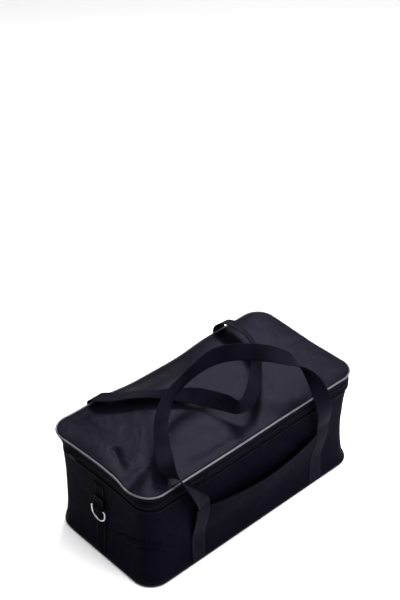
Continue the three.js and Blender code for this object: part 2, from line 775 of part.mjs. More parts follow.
// The sliders are parked at the rear ends of the zip, with the pulls lying forward
function addSlider(name, side) {
  const place = new THREE.Group();
  place.position.set(side * (halfLength - tapeInset), sliderParkFromMiddle, splitHeight);
  group.add(place);
  const slider = sliderSolid();
  const pull = pullSolid();
  if (side < 0) {
    slider.rotateX(Math.PI).rotateZ(Math.PI);
    pull.rotateX(Math.PI).rotateZ(Math.PI);
  }
  addNode(`zip_slider_${name}`, slider, blackMetal, place);
  const tab = addNode(`zip_pull_${name}`, pull, blackMetal, place);
  tab.position.x = side * pullStand;
}

addBase();
addWalls();
addZip();
addLid();
addStraps();
addFrontHandle();
addRearHandle();
addPocket();
addEnd("right", 0);
addEnd("left", Math.PI);
addSlider("left", -1);
addSlider("right", 1);

export default group;
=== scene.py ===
import math

import bpy
import numpy as np
from mathutils import Matrix, Vector


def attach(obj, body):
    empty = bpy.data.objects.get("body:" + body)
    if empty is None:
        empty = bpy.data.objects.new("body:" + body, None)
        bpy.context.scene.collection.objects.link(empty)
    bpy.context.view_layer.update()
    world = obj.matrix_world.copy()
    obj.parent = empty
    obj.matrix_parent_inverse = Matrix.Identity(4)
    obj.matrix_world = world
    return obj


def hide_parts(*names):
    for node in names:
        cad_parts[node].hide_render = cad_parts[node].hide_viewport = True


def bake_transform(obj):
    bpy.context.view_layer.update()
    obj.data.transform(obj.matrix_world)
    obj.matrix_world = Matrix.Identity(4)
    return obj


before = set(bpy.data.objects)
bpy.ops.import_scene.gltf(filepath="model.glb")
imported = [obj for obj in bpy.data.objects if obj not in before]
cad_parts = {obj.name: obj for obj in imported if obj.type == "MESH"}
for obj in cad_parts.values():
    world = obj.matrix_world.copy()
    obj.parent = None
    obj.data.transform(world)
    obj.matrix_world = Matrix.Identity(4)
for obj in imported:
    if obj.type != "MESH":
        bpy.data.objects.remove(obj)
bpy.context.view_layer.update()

# Camera, floor and light.
# The bag stands on a pale studio floor under soft lights above, in front and behind. The
# camera looks down on the front and the left end, as the lower picture does.
MM = 0.001
VIEW_AZIMUTH = math.radians(-42.75)
VIEW_ELEVATION = math.radians(36.78)
VIEW_DISTANCE = 2632.5
VIEW_ACROSS = -12.8
VIEW_UP = 253.9
VIEW_CENTRE_HEIGHT = 107.8
FOCAL_PIXELS = 1469.5
IMAGE_HEIGHT_PIXELS = 600
SENSOR_HEIGHT = 36.0
CAMERA_REACH = 20.0
FLOOR_HALF = 6.0
SKY_STRENGTH = 0.34


def new_object(name, data):
    """An object with its data, put into the scene."""
    thing = bpy.data.objects.new(name, data)
    bpy.context.collection.objects.link(thing)
    return thing


sin_a, cos_a = math.sin(VIEW_AZIMUTH), math.cos(VIEW_AZIMUTH)
sin_e, cos_e = math.sin(VIEW_ELEVATION), math.cos(VIEW_ELEVATION)
view_back = Vector((sin_a * cos_e, -cos_a * cos_e, sin_e))
view_right = Vector((cos_a, sin_a, 0.0))
view_up = view_back.cross(view_right)
view_place = view_back * VIEW_DISTANCE + view_right * VIEW_ACROSS + view_up * VIEW_UP
view_place += Vector((0, 0, VIEW_CENTRE_HEIGHT))

camera_data = bpy.data.cameras.new("studio_camera")
camera_data.sensor_fit = "VERTICAL"
camera_data.sensor_height = SENSOR_HEIGHT
camera_data.lens = FOCAL_PIXELS / IMAGE_HEIGHT_PIXELS * SENSOR_HEIGHT
camera_data.clip_end = CAMERA_REACH
camera = new_object("studio_camera", camera_data)
view_turn = Matrix((view_right, view_up, view_back)).transposed().to_4x4()
camera.matrix_world = Matrix.Translation(view_place * MM) @ view_turn
bpy.context.scene.camera = camera


def srgb(code):
    """The linear colour of an sRGB hex value, with full alpha."""
    channels = [int(code[i:i + 2], 16) / 255 for i in (1, 3, 5)]
    linear = [c / 12.92 if c <= 0.04045 else ((c + 0.055) / 1.055) ** 2.4 for c in channels]
    return (*linear, 1.0)


def add_node(tree, kind, settings=None, links=None, inputs=None):
    """Adds a node to a tree, sets its properties and input values and links its inputs."""
    node = tree.nodes.new(kind)
    for key, value in (settings or {}).items():
        setattr(node, key, value)
    for key, value in (inputs or {}).items():
        node.inputs[key].default_value = value
    for key, source in (links or {}).items():
        tree.links.new(source, node.inputs[key])
    return node


def new_material(name):
    """A material's empty node tree, and a function that gives it its shader."""
    material = bpy.data.materials.new(name)
    material.use_nodes = True
    tree = material.node_tree
    tree.nodes.clear()

    def finish(values, links=None):
        shader = add_node(tree, "ShaderNodeBsdfPrincipled", links=links, inputs=values)
        add_node(tree, "ShaderNodeOutputMaterial", links={"Surface": shader.outputs[0]})
        return material

    return tree, finish


# Seamless paper: matt and pale.
tree, finish = new_material("seamless_paper")
paper = finish({"Base Color": srgb("#f7f7f8"), "Roughness": 0.9, "Specular IOR Level": 0.1})
floor_mesh = bpy.data.meshes.new("studio_floor")
floor_corners = [(x * FLOOR_HALF, y * FLOOR_HALF, 0) for x, y in ((-1, -1), (1, -1), (1, 1), (-1, 1))]
floor_mesh.from_pydata(floor_corners, [], [(0, 1, 2, 3)])
floor_mesh.materials.append(paper)
new_object("studio_floor", floor_mesh)

world = bpy.data.worlds.new("studio_world")
world.use_nodes = True
world.node_tree.nodes["Background"].inputs["Color"].default_value = srgb("#ffffff")
world.node_tree.nodes["Background"].inputs["Strength"].default_value = SKY_STRENGTH
bpy.context.scene.world = world
bpy.context.scene.view_settings.view_transform = "Standard"


def softbox(name, place, target, size, power):
    """A square area light that points from one place to another, in metres and watts."""
    data = bpy.data.lights.new(name, "AREA")
    data.size = size
    data.energy = power
    aim = (Vector(target) - Vector(place)).to_track_quat("-Z", "Y").to_matrix().to_4x4()
    new_object(name, data).matrix_world = Matrix.Translation(place) @ aim


softbox("softbox_over", (0, -0.2, 3.0), (0, 0, 0), size=3.0, power=115)
softbox("softbox_front", (0.55, -2.1, 1.3), (0.05, -0.1, 0.1), size=1.6, power=74)
softbox("softbox_rear", (0.65, 0.57, 1.15), (-0.07, -0.1, 0.2), size=0.3, power=19)

# Body fabric.
# Walls of dense black polyester over foam, sewn from a front and a rear half that meet at
# the middle of each end. They stand as a box whose sides draw in between the two seams.
BAG_LENGTH = 500.0
BAG_DEPTH = 254.0
CORNER_RADIUS = 36.0
LID_SEAM_HEIGHT = 211.0
SPLIT_HEIGHT = 185.0
WALL_BOTTOM = 6.9
WALL_TOP = 180.0
WALL_WAIST = 4.0
FRONT_CORNER_WAIST = 6.0
REAR_CORNER_WAIST = 4.5
FRONT_BELLY = 7.0
BASE_FLARE = 1.0
LEFT_RIM_DRAW = 2.3
RIGHT_RIM_DRAW = 2.5
FRONT_SLUMP = 5.5
REAR_SLUMP = 8.5
REAR_LEAN = 3.5
FABRIC = 1.2
SEAM_GAP = 0.3
STATION_SPACING = 3.0
SKIN_STEPS = (104, 14)
SHARP_EDGE = math.radians(48)
THREAD_SPACING = 1.1

HALF_LENGTH = BAG_LENGTH / 2
HALF_DEPTH = BAG_DEPTH / 2
STRAIGHT_LENGTH = BAG_LENGTH - 2 * CORNER_RADIUS
STRAIGHT_DEPTH = BAG_DEPTH - 2 * CORNER_RADIUS
CORNER_ARC = math.pi * CORNER_RADIUS / 2
ROUND_BAG = 2 * (STRAIGHT_LENGTH + STRAIGHT_DEPTH) + 4 * CORNER_ARC
FRONT_LEFT_CORNER = STRAIGHT_DEPTH / 2 + CORNER_ARC / 2
FRONT_MIDDLE = STRAIGHT_DEPTH / 2 + CORNER_ARC + STRAIGHT_LENGTH / 2
FRONT_RIGHT_CORNER = 2 * FRONT_MIDDLE - FRONT_LEFT_CORNER
REAR_LEFT_CORNER = -FRONT_LEFT_CORNER
REAR_MIDDLE = FRONT_MIDDLE + ROUND_BAG / 2
LEFT_MIDDLE = 0.0
RIGHT_MIDDLE = ROUND_BAG / 2

# The creases that the photograph shows, most of them over the front left corner, as
# (depth, half width, places of (station, height)).
WALL_CREASES = [
    (-2.6, 2.6, [(42, 82), (69, 94), (113, 110)]),
    (-3.0, 2.6, [(104, 112), (117, 108), (140, 98), (172, 70)]),
    (-2.8, 2.6, [(92, 86), (124, 92), (145, 78), (170, 54)]),
    (-1.4, 2.4, [(14, 70), (50, 92)]),
    (-1.6, 2.4, [(104, 137), (134, 124)]),
    (1.6, 7.0, [(60, 78), (120, 101), (165, 66)]),
]
# Soft folds, as (depth, station, height, half length, half width, lean in degrees). What
# lies behind the fabric takes one broad dent in place of the left corner's creases.
LEFT_FOLDS = [(-1.6, 78, 44, 50, 16, 12), (1.2, FRONT_LEFT_CORNER + 40, 120, 30, 40, 0)]
BROAD_DENT = [(-3.2, 118, 88, 75, 40, 0)]
RIGHT_FOLDS = [
    (-1.8, FRONT_RIGHT_CORNER - 12, 128, 34, 4.5, 62),
    (-1.2, FRONT_RIGHT_CORNER + 6, 92, 30, 5.0, 76),
]


def outline_at(s):
    """Place and outward direction on the seam outline, s mm on from the left end's middle."""
    s = np.mod(np.asarray(s, float), ROUND_BAG)
    lengths = [STRAIGHT_DEPTH / 2, CORNER_ARC, STRAIGHT_LENGTH, CORNER_ARC, STRAIGHT_DEPTH,
               CORNER_ARC, STRAIGHT_LENGTH, CORNER_ARC, STRAIGHT_DEPTH / 2]
    place, outward = np.zeros((2, *s.shape, 2))
    inner = np.array([STRAIGHT_LENGTH / 2, STRAIGHT_DEPTH / 2])
    point = np.array([-HALF_LENGTH, 0.0])
    heading = math.radians(-90)
    begin = 0.0
    for i, length in enumerate(lengths):
        here = (s >= begin) & (s <= begin + length)
        t = (s[here] - begin)[:, None]
        ahead = np.array([math.cos(heading), math.sin(heading)])
        if i % 2 == 0:
            place[here] = point + ahead * t
            outward[here] = ahead[1], -ahead[0]
            point = point + ahead * length
        else:
            centre = np.sign(point + ahead * CORNER_RADIUS) * inner
            angle = heading - math.pi / 2 + t / CORNER_RADIUS
            outward[here] = np.concatenate([np.cos(angle), np.sin(angle)], 1)
            place[here] = centre + CORNER_RADIUS * outward[here]
            point = centre + CORNER_RADIUS * ahead
            heading += math.pi / 2
        begin += length
    return place, outward


def smooth_step(value, low, high):
    """A soft step: 0 up to low, and 1 from high on."""
    t = np.clip((np.asarray(value, float) - low) / (high - low), 0, 1)
    return t * t * (3 - 2 * t)


def round_distance(s, centre):
    """Shortest signed way round the bag from centre to s."""
    return np.mod(np.asarray(s, float) - centre + ROUND_BAG / 2, ROUND_BAG) - ROUND_BAG / 2


def near(s, centre, reach, power=2):
    """One at a station, and 0 a few reaches away from it round the bag."""
    return np.exp(-(round_distance(s, centre) / reach) ** power)


def ripple(a, b, size, phase=0.0):
    """Uneven soft waves about size mm long, between about -1 and 1."""
    k = 2 * math.pi / size
    waves = np.sin(k * a + phase) * np.cos(0.81 * k * b + 1.7 * phase)
    waves = waves + 0.6 * np.sin(0.57 * k * a + 0.73 * k * b + 2.3 * phase)
    return (waves + 0.5 * np.cos(1.31 * k * a - 0.94 * k * b + 0.9 * phase)) / 1.9


def soft_folds(s, z, folds):
    """The depth of soft folds at a place on the wall."""
    total = 0.0
    for depth, centre, height, half_long, half_wide, lean in folds:
        turn = math.radians(lean)
        run, rise = round_distance(s, centre), z - height
        along = run * math.cos(turn) + rise * math.sin(turn)
        across = rise * math.cos(turn) - run * math.sin(turn)
        total = total + depth * np.exp(-(along / half_long) ** 2 - (across / half_wide) ** 2)
    return total


def wall_creases(s, z):
    """The depth of the creases and folds on the left: each crease fades at both ends."""
    total = soft_folds(s, z, LEFT_FOLDS)
    here = round_distance(s, LEFT_MIDDLE)
    for depth, half_wide, places in WALL_CREASES:
        run, rise = np.array(places, float).T
        gap = z - np.interp(here, run, rise)
        begun = smooth_step(here, run[0] - 4, run[0] + 14)
        ended = smooth_step(here, run[-1] - 14, run[-1] + 4)
        total = total + depth * np.exp(-(gap / half_wide) ** 2) * begun * (1 - ended)
    return total


def wall_share(z):
    """The share of the wall's height that lies below z."""
    return np.clip((z - WALL_BOTTOM) / (WALL_TOP - WALL_BOTTOM), 0, 1)


def corner_waist(s, z):
    """Two corners draw in below the lid, where the foam ends short of them."""
    right = near(s, FRONT_RIGHT_CORNER, 36) * np.sin(math.pi * wall_share(z)) ** 0.4
    left = near(s, REAR_LEFT_CORNER, 23) * (1 - smooth_step(z, 188, 208))
    return -FRONT_CORNER_WAIST * right - (REAR_CORNER_WAIST + 2.5 * smooth_step(z, 0, 60)) * left


def wall_outward(s, z, behind):
    """How far the wall stands out from the lid seam's outline."""
    t = wall_share(z)
    free = np.sin(math.pi * t)
    out = BASE_FLARE * (1 - t) - WALL_WAIST * free
    out = out + 0.7 * free * ripple(s, z, 140, 0.4) + 0.35 * free * ripple(s, z, 52, 2.1)
    belly = near(s, FRONT_MIDDLE, 165, 4) * smooth_step(z, 30, 118) * (1 - smooth_step(z, 128, 186))
    left = np.where(behind, soft_folds(s, z, BROAD_DENT), wall_creases(s, z))
    folds = left + soft_folds(s, z, RIGHT_FOLDS)
    return out + FRONT_BELLY * belly + corner_waist(s, z) + free * folds


def rim_out(s):
    """How far the zip and the lid's edge stand out or in from a true rounded rectangle."""
    left, right = near(s, LEFT_MIDDLE, 52), near(s, RIGHT_MIDDLE, 60)
    return -LEFT_RIM_DRAW * left - RIGHT_RIM_DRAW * right + 0.5 * near(s, FRONT_LEFT_CORNER, 40)


def rim_rise(s, z):
    """How far the wall's upper part and the lid's edge stand above their own heights."""
    wave = 0.8 * np.sin(round_distance(s, LEFT_MIDDLE) / 60) - 1.6 * near(s, FRONT_LEFT_CORNER, 48)
    return wave * smooth_step(z, 60, LID_SEAM_HEIGHT)


def lid_droop(s, z):
    """How far the lid's band slumps over the zip, as (out, down): beside the front left
    corner, and behind the middle of the rear. At the rear left corner it leans out."""
    share = smooth_step(z, 193, 208)
    front = near(s, LEFT_MIDDLE + 75, 18)
    rear = near(s, REAR_MIDDLE + 12, 95, 4)
    corner = near(s, REAR_LEFT_CORNER, 34)
    down = FRONT_SLUMP * front + REAR_SLUMP * rear
    return (front - rear + REAR_LEAN * corner) * share, down * share


def at_height(xy, z):
    """Points from places on the floor and their heights."""
    return np.concatenate([xy, z[..., None]], -1)


def off_outline(s, off, z):
    """A point at height z, off mm outside the seam outline."""
    place, outward = outline_at(s)
    off, z = np.broadcast_arrays(off, z)
    return at_height(place + outward * off[..., None], z)


def on_wall(s, z, lift=0.0):
    """A point on the bag's side at height z, lift mm off the outer fabric."""
    s, z, lift = np.broadcast_arrays(*(np.asarray(v, float) for v in (s, z, lift)))
    behind = lift < -FABRIC - 0.1
    off = wall_outward(s, z, behind) + rim_out(s) * smooth_step(z, 120, LID_SEAM_HEIGHT) + lift
    return off_outline(s, off, z + rim_rise(s, z))


def signed_volume(mesh):
    """A closed mesh's volume times six, less than 0 where its faces look inward."""
    mesh.calc_loop_triangles()
    places = np.empty(len(mesh.vertices) * 3)
    mesh.vertices.foreach_get("co", places)
    triangles = np.empty(len(mesh.loop_triangles) * 3, dtype=int)
    mesh.loop_triangles.foreach_get("vertices", triangles)
    a, b, c = np.moveaxis(places.reshape(-1, 3)[triangles.reshape(-1, 3)], 1, 0)
    return float(np.einsum("ij,ij->i", a, np.cross(b, c)).sum())


def grid_piece(name, points, material, round_i=False, round_j=False, u=None, v=None, caps=False):
    """A mesh object from a grid of points in mm, with a UV map in mm along both ways. Caps
    close a tube's two ends, or the two rims of a panel that goes round the bag."""
    ni, nj = points.shape[:2]
    places = points.reshape(-1, 3)
    u = np.arange(ni + 1.0) if u is None else u
    v = np.arange(nj + 1.0) if v is None else np.append(v, v[0])
    faces, corners = [], []
    for i in range(ni if round_i else ni - 1):
        i2 = (i + 1) % ni
        for j in range(nj if round_j else nj - 1):
            j2 = (j + 1) % nj
            faces.append((i * nj + j, i2 * nj + j, i2 * nj + j2, i * nj + j2))
            corners.extend([(u[i], v[j]), (u[i + 1], v[j]), (u[i + 1], v[j + 1]), (u[i], v[j + 1])])
    if caps and round_j:
        for i, order in ((0, range(nj)), (ni - 1, range(nj)[::-1])):
            faces.append([i * nj + j for j in order])
            corners.extend((u[i], v[j]) for j in order)
    elif caps:
        for j, order in ((0, range(ni)[::-1]), (nj - 1, range(ni))):
            faces.append([i * nj + j for i in order])
        corners = [places[k, :2] for face in faces for k in face]
    mesh = bpy.data.meshes.new(name)
    mesh.from_pydata((places * MM).tolist(), [], faces)
    mesh.uv_layers.new(name="cloth").data.foreach_set("uv", np.array(corners, float).ravel())
    if (caps or round_i and round_j) and signed_volume(mesh) < 0:
        mesh.flip_normals()
    mesh.polygons.foreach_set("use_smooth", [True] * len(mesh.polygons))
    mesh.set_sharp_from_angle(angle=SHARP_EDGE)
    mesh.materials.append(material)
    return new_object(name, mesh)


def seat(piece, body, slot, *nodes):
    """The piece rides on a body and stands for CAD nodes, which it hides; slot is not used. A
    piece that joins two bodies is given none here."""
    if body:
        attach(piece, body)
    if nodes:
        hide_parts(*nodes)
    return piece


def thread_height(tree, pitch_u, pitch_v=THREAD_SPACING):
    """The height of crossing threads, from the cloth map in mm."""
    cloth = add_node(tree, "ShaderNodeUVMap", {"uv_map": "cloth"})
    split = add_node(tree, "ShaderNodeSeparateXYZ", links={"Vector": cloth.outputs["UV"]})
    waves = []
    for axis, pitch in (("X", pitch_u), ("Y", pitch_v)):
        phase = add_node(tree, "ShaderNodeMath", {"operation": "MULTIPLY"},
                         {0: split.outputs[axis]}, {1: math.pi / pitch})
        waves.append(add_node(tree, "ShaderNodeMath", {"operation": "SINE"}, {0: phase.outputs[0]}))
    crossed = add_node(tree, "ShaderNodeMath", {"operation": "MULTIPLY"},
                       {0: waves[0].outputs[0], 1: waves[1].outputs[0]})
    return crossed.outputs[0]


# Oxford polyester: a dense plain weave with a matt face and a faint cool sheen. The real
# threads are 0.5 mm apart and are drawn at 1.1 mm, so that they show.
def woven_polyester(name, dark, light, roughness, gloss, sheen):
    tree, finish = new_material(name)
    place = add_node(tree, "ShaderNodeTexCoord").outputs["Object"]
    broad = add_node(tree, "ShaderNodeTexNoise", links={"Vector": place}, inputs={"Scale": 9, "Detail": 3})
    fine = add_node(tree, "ShaderNodeTexNoise", links={"Vector": place},
                    inputs={"Scale": 420, "Detail": 2})
    blend = add_node(tree, "ShaderNodeMath", {"operation": "MULTIPLY"},
                     {0: broad.outputs["Fac"], 1: fine.outputs["Fac"]})
    colour = add_node(tree, "ShaderNodeValToRGB", links={"Fac": blend.outputs[0]})
    for stop, at, code in zip(colour.color_ramp.elements, (0.12, 0.42), (dark, light)):
        stop.position, stop.color = at, srgb(code)
    weave = thread_height(tree, THREAD_SPACING)
    grain = add_node(tree, "ShaderNodeMath", {"operation": "MULTIPLY_ADD"},
                     {0: fine.outputs["Fac"], 2: weave}, {1: 0.6})
    crumple = add_node(tree, "ShaderNodeTexNoise", links={"Vector": place},
                       inputs={"Scale": 24, "Detail": 4, "Distortion": 0.8})
    soft = add_node(tree, "ShaderNodeBump", links={"Height": crumple.outputs["Fac"]},
                    inputs={"Strength": 0.5, "Distance": 0.0035})
    bump = add_node(tree, "ShaderNodeBump", inputs={"Strength": 0.35, "Distance": 0.00025},
                    links={"Height": grain.outputs[0], "Normal": soft.outputs["Normal"]})
    return finish({
        "Roughness": roughness, "Specular IOR Level": gloss, "IOR": 1.5, "Specular Tint": srgb("#b4aee6"),
        "Sheen Weight": sheen, "Sheen Roughness": 0.45, "Sheen Tint": srgb("#c9c6e6"),
    }, {"Base Color": colour.outputs["Color"], "Normal": bump.outputs["Normal"]})


body_cloth = woven_polyester("oxford_polyester_body", "#040308", "#0a0912", 0.62, 0.006, 0.002)

stations = np.arange(0, ROUND_BAG, ROUND_BAG / round(ROUND_BAG / STATION_SPACING))
around = np.append(stations, ROUND_BAG)


def round_piece(name, surface, levels, lifts, material, run=None):
    """A closed section of levels and lifts off a surface, round the whole bag or along a run."""
    whole = run is None
    points = surface((stations if whole else run)[:, None], levels, lifts)
    u = around if whole else run
    return grid_piece(name, points, material, whole, True, u, levels, caps=not whole)


skin_levels = np.concatenate([
    np.linspace(WALL_BOTTOM, WALL_TOP, SKIN_STEPS[0]), np.linspace(WALL_TOP, WALL_BOTTOM, SKIN_STEPS[1]),
])
body_skin = round_piece("body_walls", on_wall, skin_levels, np.repeat([0, -FABRIC], SKIN_STEPS), body_cloth)
seat(body_skin, "bag", "fabric_black", "front_wall", "rear_wall")

# Base.
# A panel of the same cloth, dished up a little at its edge, stands on the floor. A stiff
# board lies on it, under the foam.
BASE_RISE = 1.1
BASE_DISH = 7.0
BASE_INSET = 0.5
FLOOR_CLEARANCE = 0.02


def nested_panel(name, levels, material):
    """A plate from outlines at (offset, height), closed flat at both ends."""
    offset, z = np.array(levels, float).T
    s = stations[:, None]
    return grid_piece(name, off_outline(s, offset + corner_waist(s, z), z), material, True, caps=True)


base_panel = nested_panel("base_cloth", [
    (-BASE_DISH, FLOOR_CLEARANCE), (-BASE_INSET, BASE_RISE), (-BASE_INSET, BASE_RISE + FABRIC),
    (-BASE_DISH - BASE_INSET, FABRIC),
], body_cloth)
seat(base_panel, "bag", "fabric_black", "base_panel")


def finish_node(name, material):
    """Gives a CAD node that stays in view its material."""
    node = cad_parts[name]
    node.data.materials.clear()
    node.data.materials.append(material)
    return node


# Polypropylene sheet, die cut: grey, half matt.
tree, finish = new_material("polypropylene_board")
finish_node("base_board", finish({"Base Color": srgb("#6a6a6c"), "Roughness": 0.55, "IOR": 1.49}))

# Seam piping.
# A round cord under soft grey plastic, caught in the lid seam and in the base seam all
# round the bag. It follows the seams as they sag.
PIPING_RADIUS = 2.0
LID_PIPING_RADIUS = 1.6
BASE_SEAM_HEIGHT = 4.6
PIPING_SIDES = 10


# Soft PVC, extruded: pale grey and half gloss with slight scuffs at the lid, and dull at the
# base, where it is painted dark as painted shade along the bottom seam.
def piping_vinyl(name, dark, light, gloss):
    tree, finish = new_material(name)
    place = add_node(tree, "ShaderNodeTexCoord").outputs["Object"]
    scuff = add_node(tree, "ShaderNodeTexNoise", links={"Vector": place}, inputs={"Scale": 160, "Detail": 3})
    shade = add_node(tree, "ShaderNodeValToRGB", links={"Fac": scuff.outputs["Fac"]})
    for stop, at, code in zip(shade.color_ramp.elements, (0.3, 0.65), (dark, light)):
        stop.position, stop.color = at, srgb(code)
    return finish({"Roughness": 0.42, "IOR": 1.52, "Specular IOR Level": gloss},
                  {"Base Color": shade.outputs["Color"]})


def piping_round(name, height, lift, material, radius):
    """A cord round the bag at a height, its middle lift mm off the outline."""
    turn = 2 * math.pi * np.arange(PIPING_SIDES) / PIPING_SIDES
    s = stations[:, None]
    slump_out, slump_down = lid_droop(s, height)
    off = rim_out(s) * (height > SPLIT_HEIGHT) + slump_out + lift + corner_waist(s, height)
    middle = height + rim_rise(s, height) - slump_down
    points = off_outline(s, off + radius * np.cos(turn), middle + radius * np.sin(turn))
    return grid_piece(name, points, material, True, True, around)


seam_vinyl = piping_vinyl("grey_pvc_piping", "#2f2f35", "#45454b", 0.5)
# The base cord is painted darker than the grey lid cord: painted shade along the bottom seam.
base_vinyl_painted_shade = piping_vinyl("grey_pvc_piping_painted_shade", "#0c0c10", "#141418", 0.06)
base_cord = piping_round("base_seam_piping", BASE_SEAM_HEIGHT, BASE_FLARE, base_vinyl_painted_shade, PIPING_RADIUS)
seat(base_cord, "bag", "piping_grey", "base_piping")
lid_cord = piping_round("lid_seam_piping", LID_SEAM_HEIGHT, 0.0, seam_vinyl, LID_PIPING_RADIUS)
seat(lid_cord, "lid", "piping_grey", "lid_piping")

# Insulation and liner.
# Closed cell foam stands behind the outer fabric and lies on the base board. A tub of
# welded silver film lines it, turned out over the foam and bound with tape at the rim.
FOAM = 8.0
FILM = 0.8
FOAM_TOP = 176.0
FOAM_FLOOR = 3.8
FOAM_SLAB_INSET = 13.1
FOAM_INSET = FABRIC + SEAM_GAP
LINER_INSET = FOAM_INSET + FOAM + SEAM_GAP
LINER_FLOOR = FOAM_FLOOR + FOAM + SEAM_GAP
FLANGE_HEIGHT = FOAM_TOP + SEAM_GAP
FOAM_STEPS = 50
TUB_STEPS = 34
RIM_LOW = 177.4
RIM_TAPE = 1.4

# Polyethylene foam, cut from sheet: white, matt, with a fine cell texture. The cells are
# drawn at about 1.4 mm, coarser than real ones.
tree, finish = new_material("closed_cell_foam")
place = add_node(tree, "ShaderNodeTexCoord").outputs["Object"]
cells = add_node(tree, "ShaderNodeTexVoronoi", links={"Vector": place}, inputs={"Scale": 700})
bump = add_node(tree, "ShaderNodeBump", links={"Height": cells.outputs["Distance"]},
                inputs={"Strength": 0.4, "Distance": 0.0005})
foam_sheet = finish({"Base Color": srgb("#e4e2dc"), "Roughness": 0.9, "Specular IOR Level": 0.3},
                    {"Normal": bump.outputs["Normal"]})

# PEVA film with a metallised face, heat welded: silver, half gloss, softly crinkled.
tree, finish = new_material("metallised_peva_film")
place = add_node(tree, "ShaderNodeTexCoord").outputs["Object"]
crinkle = add_node(tree, "ShaderNodeTexNoise", links={"Vector": place}, inputs={"Scale": 38, "Detail": 4})
folds = add_node(tree, "ShaderNodeTexVoronoi", {"feature": "DISTANCE_TO_EDGE"},
                 links={"Vector": place}, inputs={"Scale": 26})
height = add_node(tree, "ShaderNodeMath", {"operation": "MULTIPLY_ADD"},
                  {0: crinkle.outputs["Fac"], 2: folds.outputs["Distance"]}, {1: 0.8})
bump = add_node(tree, "ShaderNodeBump", links={"Height": height.outputs[0]},
                inputs={"Strength": 0.5, "Distance": 0.0016})
silver_film = finish({"Base Color": srgb("#c3c7cc"), "Metallic": 0.75, "Roughness": 0.36},
                     {"Normal": bump.outputs["Normal"]})


def up_and_down(levels):
    """Levels up the outside of a sheet and down its inside."""
    return np.concatenate([levels, levels[::-1]])


foam_levels = up_and_down(np.linspace(WALL_BOTTOM, FOAM_TOP, FOAM_STEPS))
foam_lifts = np.repeat([-FOAM_INSET, -FOAM_INSET - FOAM], FOAM_STEPS)
foam_wrap = round_piece("foam_wrap", on_wall, foam_levels, foam_lifts, foam_sheet)
seat(foam_wrap, "bag", "foam_white", "foam_wall")
slab_levels = [(-FOAM_SLAB_INSET, FOAM_FLOOR), (-FOAM_SLAB_INSET, FOAM_FLOOR + FOAM)]
foam_slab = seat(nested_panel("foam_base_slab", slab_levels, foam_sheet), "bag", "foam_white", "foam_base")

# The tub's section goes up its outer face, over the flange, down its inner face and flat
# over its floor. Its inner face is softly creased.
tub_up = np.linspace(LINER_FLOOR, FLANGE_HEIGHT, TUB_STEPS)
tub_down = tub_up[::-1].copy()
tub_down[[0, -1]] += FILM
tub_levels = np.concatenate([tub_up, [FLANGE_HEIGHT, FLANGE_HEIGHT + FILM], tub_down])
tub_lifts = -np.repeat([LINER_INSET, FOAM_INSET, LINER_INSET + FILM], [TUB_STEPS, 2, TUB_STEPS])
tub_soft = np.sin(math.pi * np.clip((tub_levels - LINER_FLOOR) / (FLANGE_HEIGHT - LINER_FLOOR), 0, 1))
tub_soft = tub_soft * (tub_lifts < -LINER_INSET - FILM / 2)
tub_creases = 0.7 * tub_soft * ripple(stations[:, None], 1.4 * tub_levels, 38, 1.1)
tub_points = on_wall(stations[:, None], tub_levels, tub_lifts - np.abs(tub_creases))
liner = grid_piece("liner_tub_film", tub_points, silver_film, True, caps=True)
seat(liner, "bag", "liner_silver", "liner_tub")


# Ribbed polyester webbing and binding tape: round yarns across the width, 1.7 mm apart in
# the webbing and 1.3 mm in the tape, which give a matt face with fine cross ribs.
def ribbed_webbing(name, dark, light, rib=1.7, gloss=0.02):
    tree, finish = new_material(name)
    place = add_node(tree, "ShaderNodeTexCoord").outputs["Object"]
    broad = add_node(tree, "ShaderNodeTexNoise", links={"Vector": place}, inputs={"Scale": 16, "Detail": 3})
    weave = thread_height(tree, rib)
    mixed = add_node(tree, "ShaderNodeMath", {"operation": "MULTIPLY_ADD"},
                     {0: weave, 2: broad.outputs["Fac"]}, {1: 0.16})
    colour = add_node(tree, "ShaderNodeValToRGB", links={"Fac": mixed.outputs[0]})
    for stop, at, code in zip(colour.color_ramp.elements, (0.3, 0.7), (dark, light)):
        stop.position, stop.color = at, srgb(code)
    bump = add_node(tree, "ShaderNodeBump", links={"Height": weave},
                    inputs={"Strength": 0.6, "Distance": 0.0004})
    return finish({
        "Roughness": 0.66, "Specular IOR Level": gloss, "IOR": 1.5, "Specular Tint": srgb("#b4aee6"),
        "Sheen Weight": 0.15 * gloss, "Sheen Roughness": 0.4, "Sheen Tint": srgb("#cac8e2"),
    }, {"Base Color": colour.outputs["Color"], "Normal": bump.outputs["Normal"]})


binding_tape = ribbed_webbing("binding_tape", "#060509", "#0d0c11", 1.3, 0.01)
rim_lifts = [-LINER_INSET + 0.5, -FOAM_INSET - 1, -FOAM_INSET - 1, -LINER_INSET + 0.5]
rim_levels = np.repeat([RIM_LOW, RIM_LOW + RIM_TAPE], 2)
rim_tape = round_piece("rim_binding_tape", on_wall, rim_levels, rim_lifts, binding_tape)
seat(rim_tape, "bag", "webbing_black", "rim_binding")

# Lid.
# A crowned top panel of the same fabric over foam, a band sewn under it along the piping,
# and a film liner. It sags to a crease at the left end, where nothing holds it up.
LID_CROWN = 6.0
LID_SWELL = 1.5
LEFT_END_SAG = 3.0
LID_GRID = (150, 80)
LID_INSET = PIPING_RADIUS + SEAM_GAP - 0.8
LID_FOAM_INSET = PIPING_RADIUS + SEAM_GAP + 1
LID_FOAM = 9.0
LID_FOAM_UNDERSIDE = LID_SEAM_HEIGHT - 10.5
LID_FOAM_LEAST = 1.5
BAND_BOTTOM = 190.0
BAND_TOP = LID_SEAM_HEIGHT - 1.2
BAND_SEAM_HEIGHT = LID_SEAM_HEIGHT - 9
BAND_STEPS = 26
TRAY_TOP = LID_SEAM_HEIGHT - 10.8
TRAY_BOTTOM = 192.9
TRAY_BORDER = 6.0
SEAM_STEPS = 1201
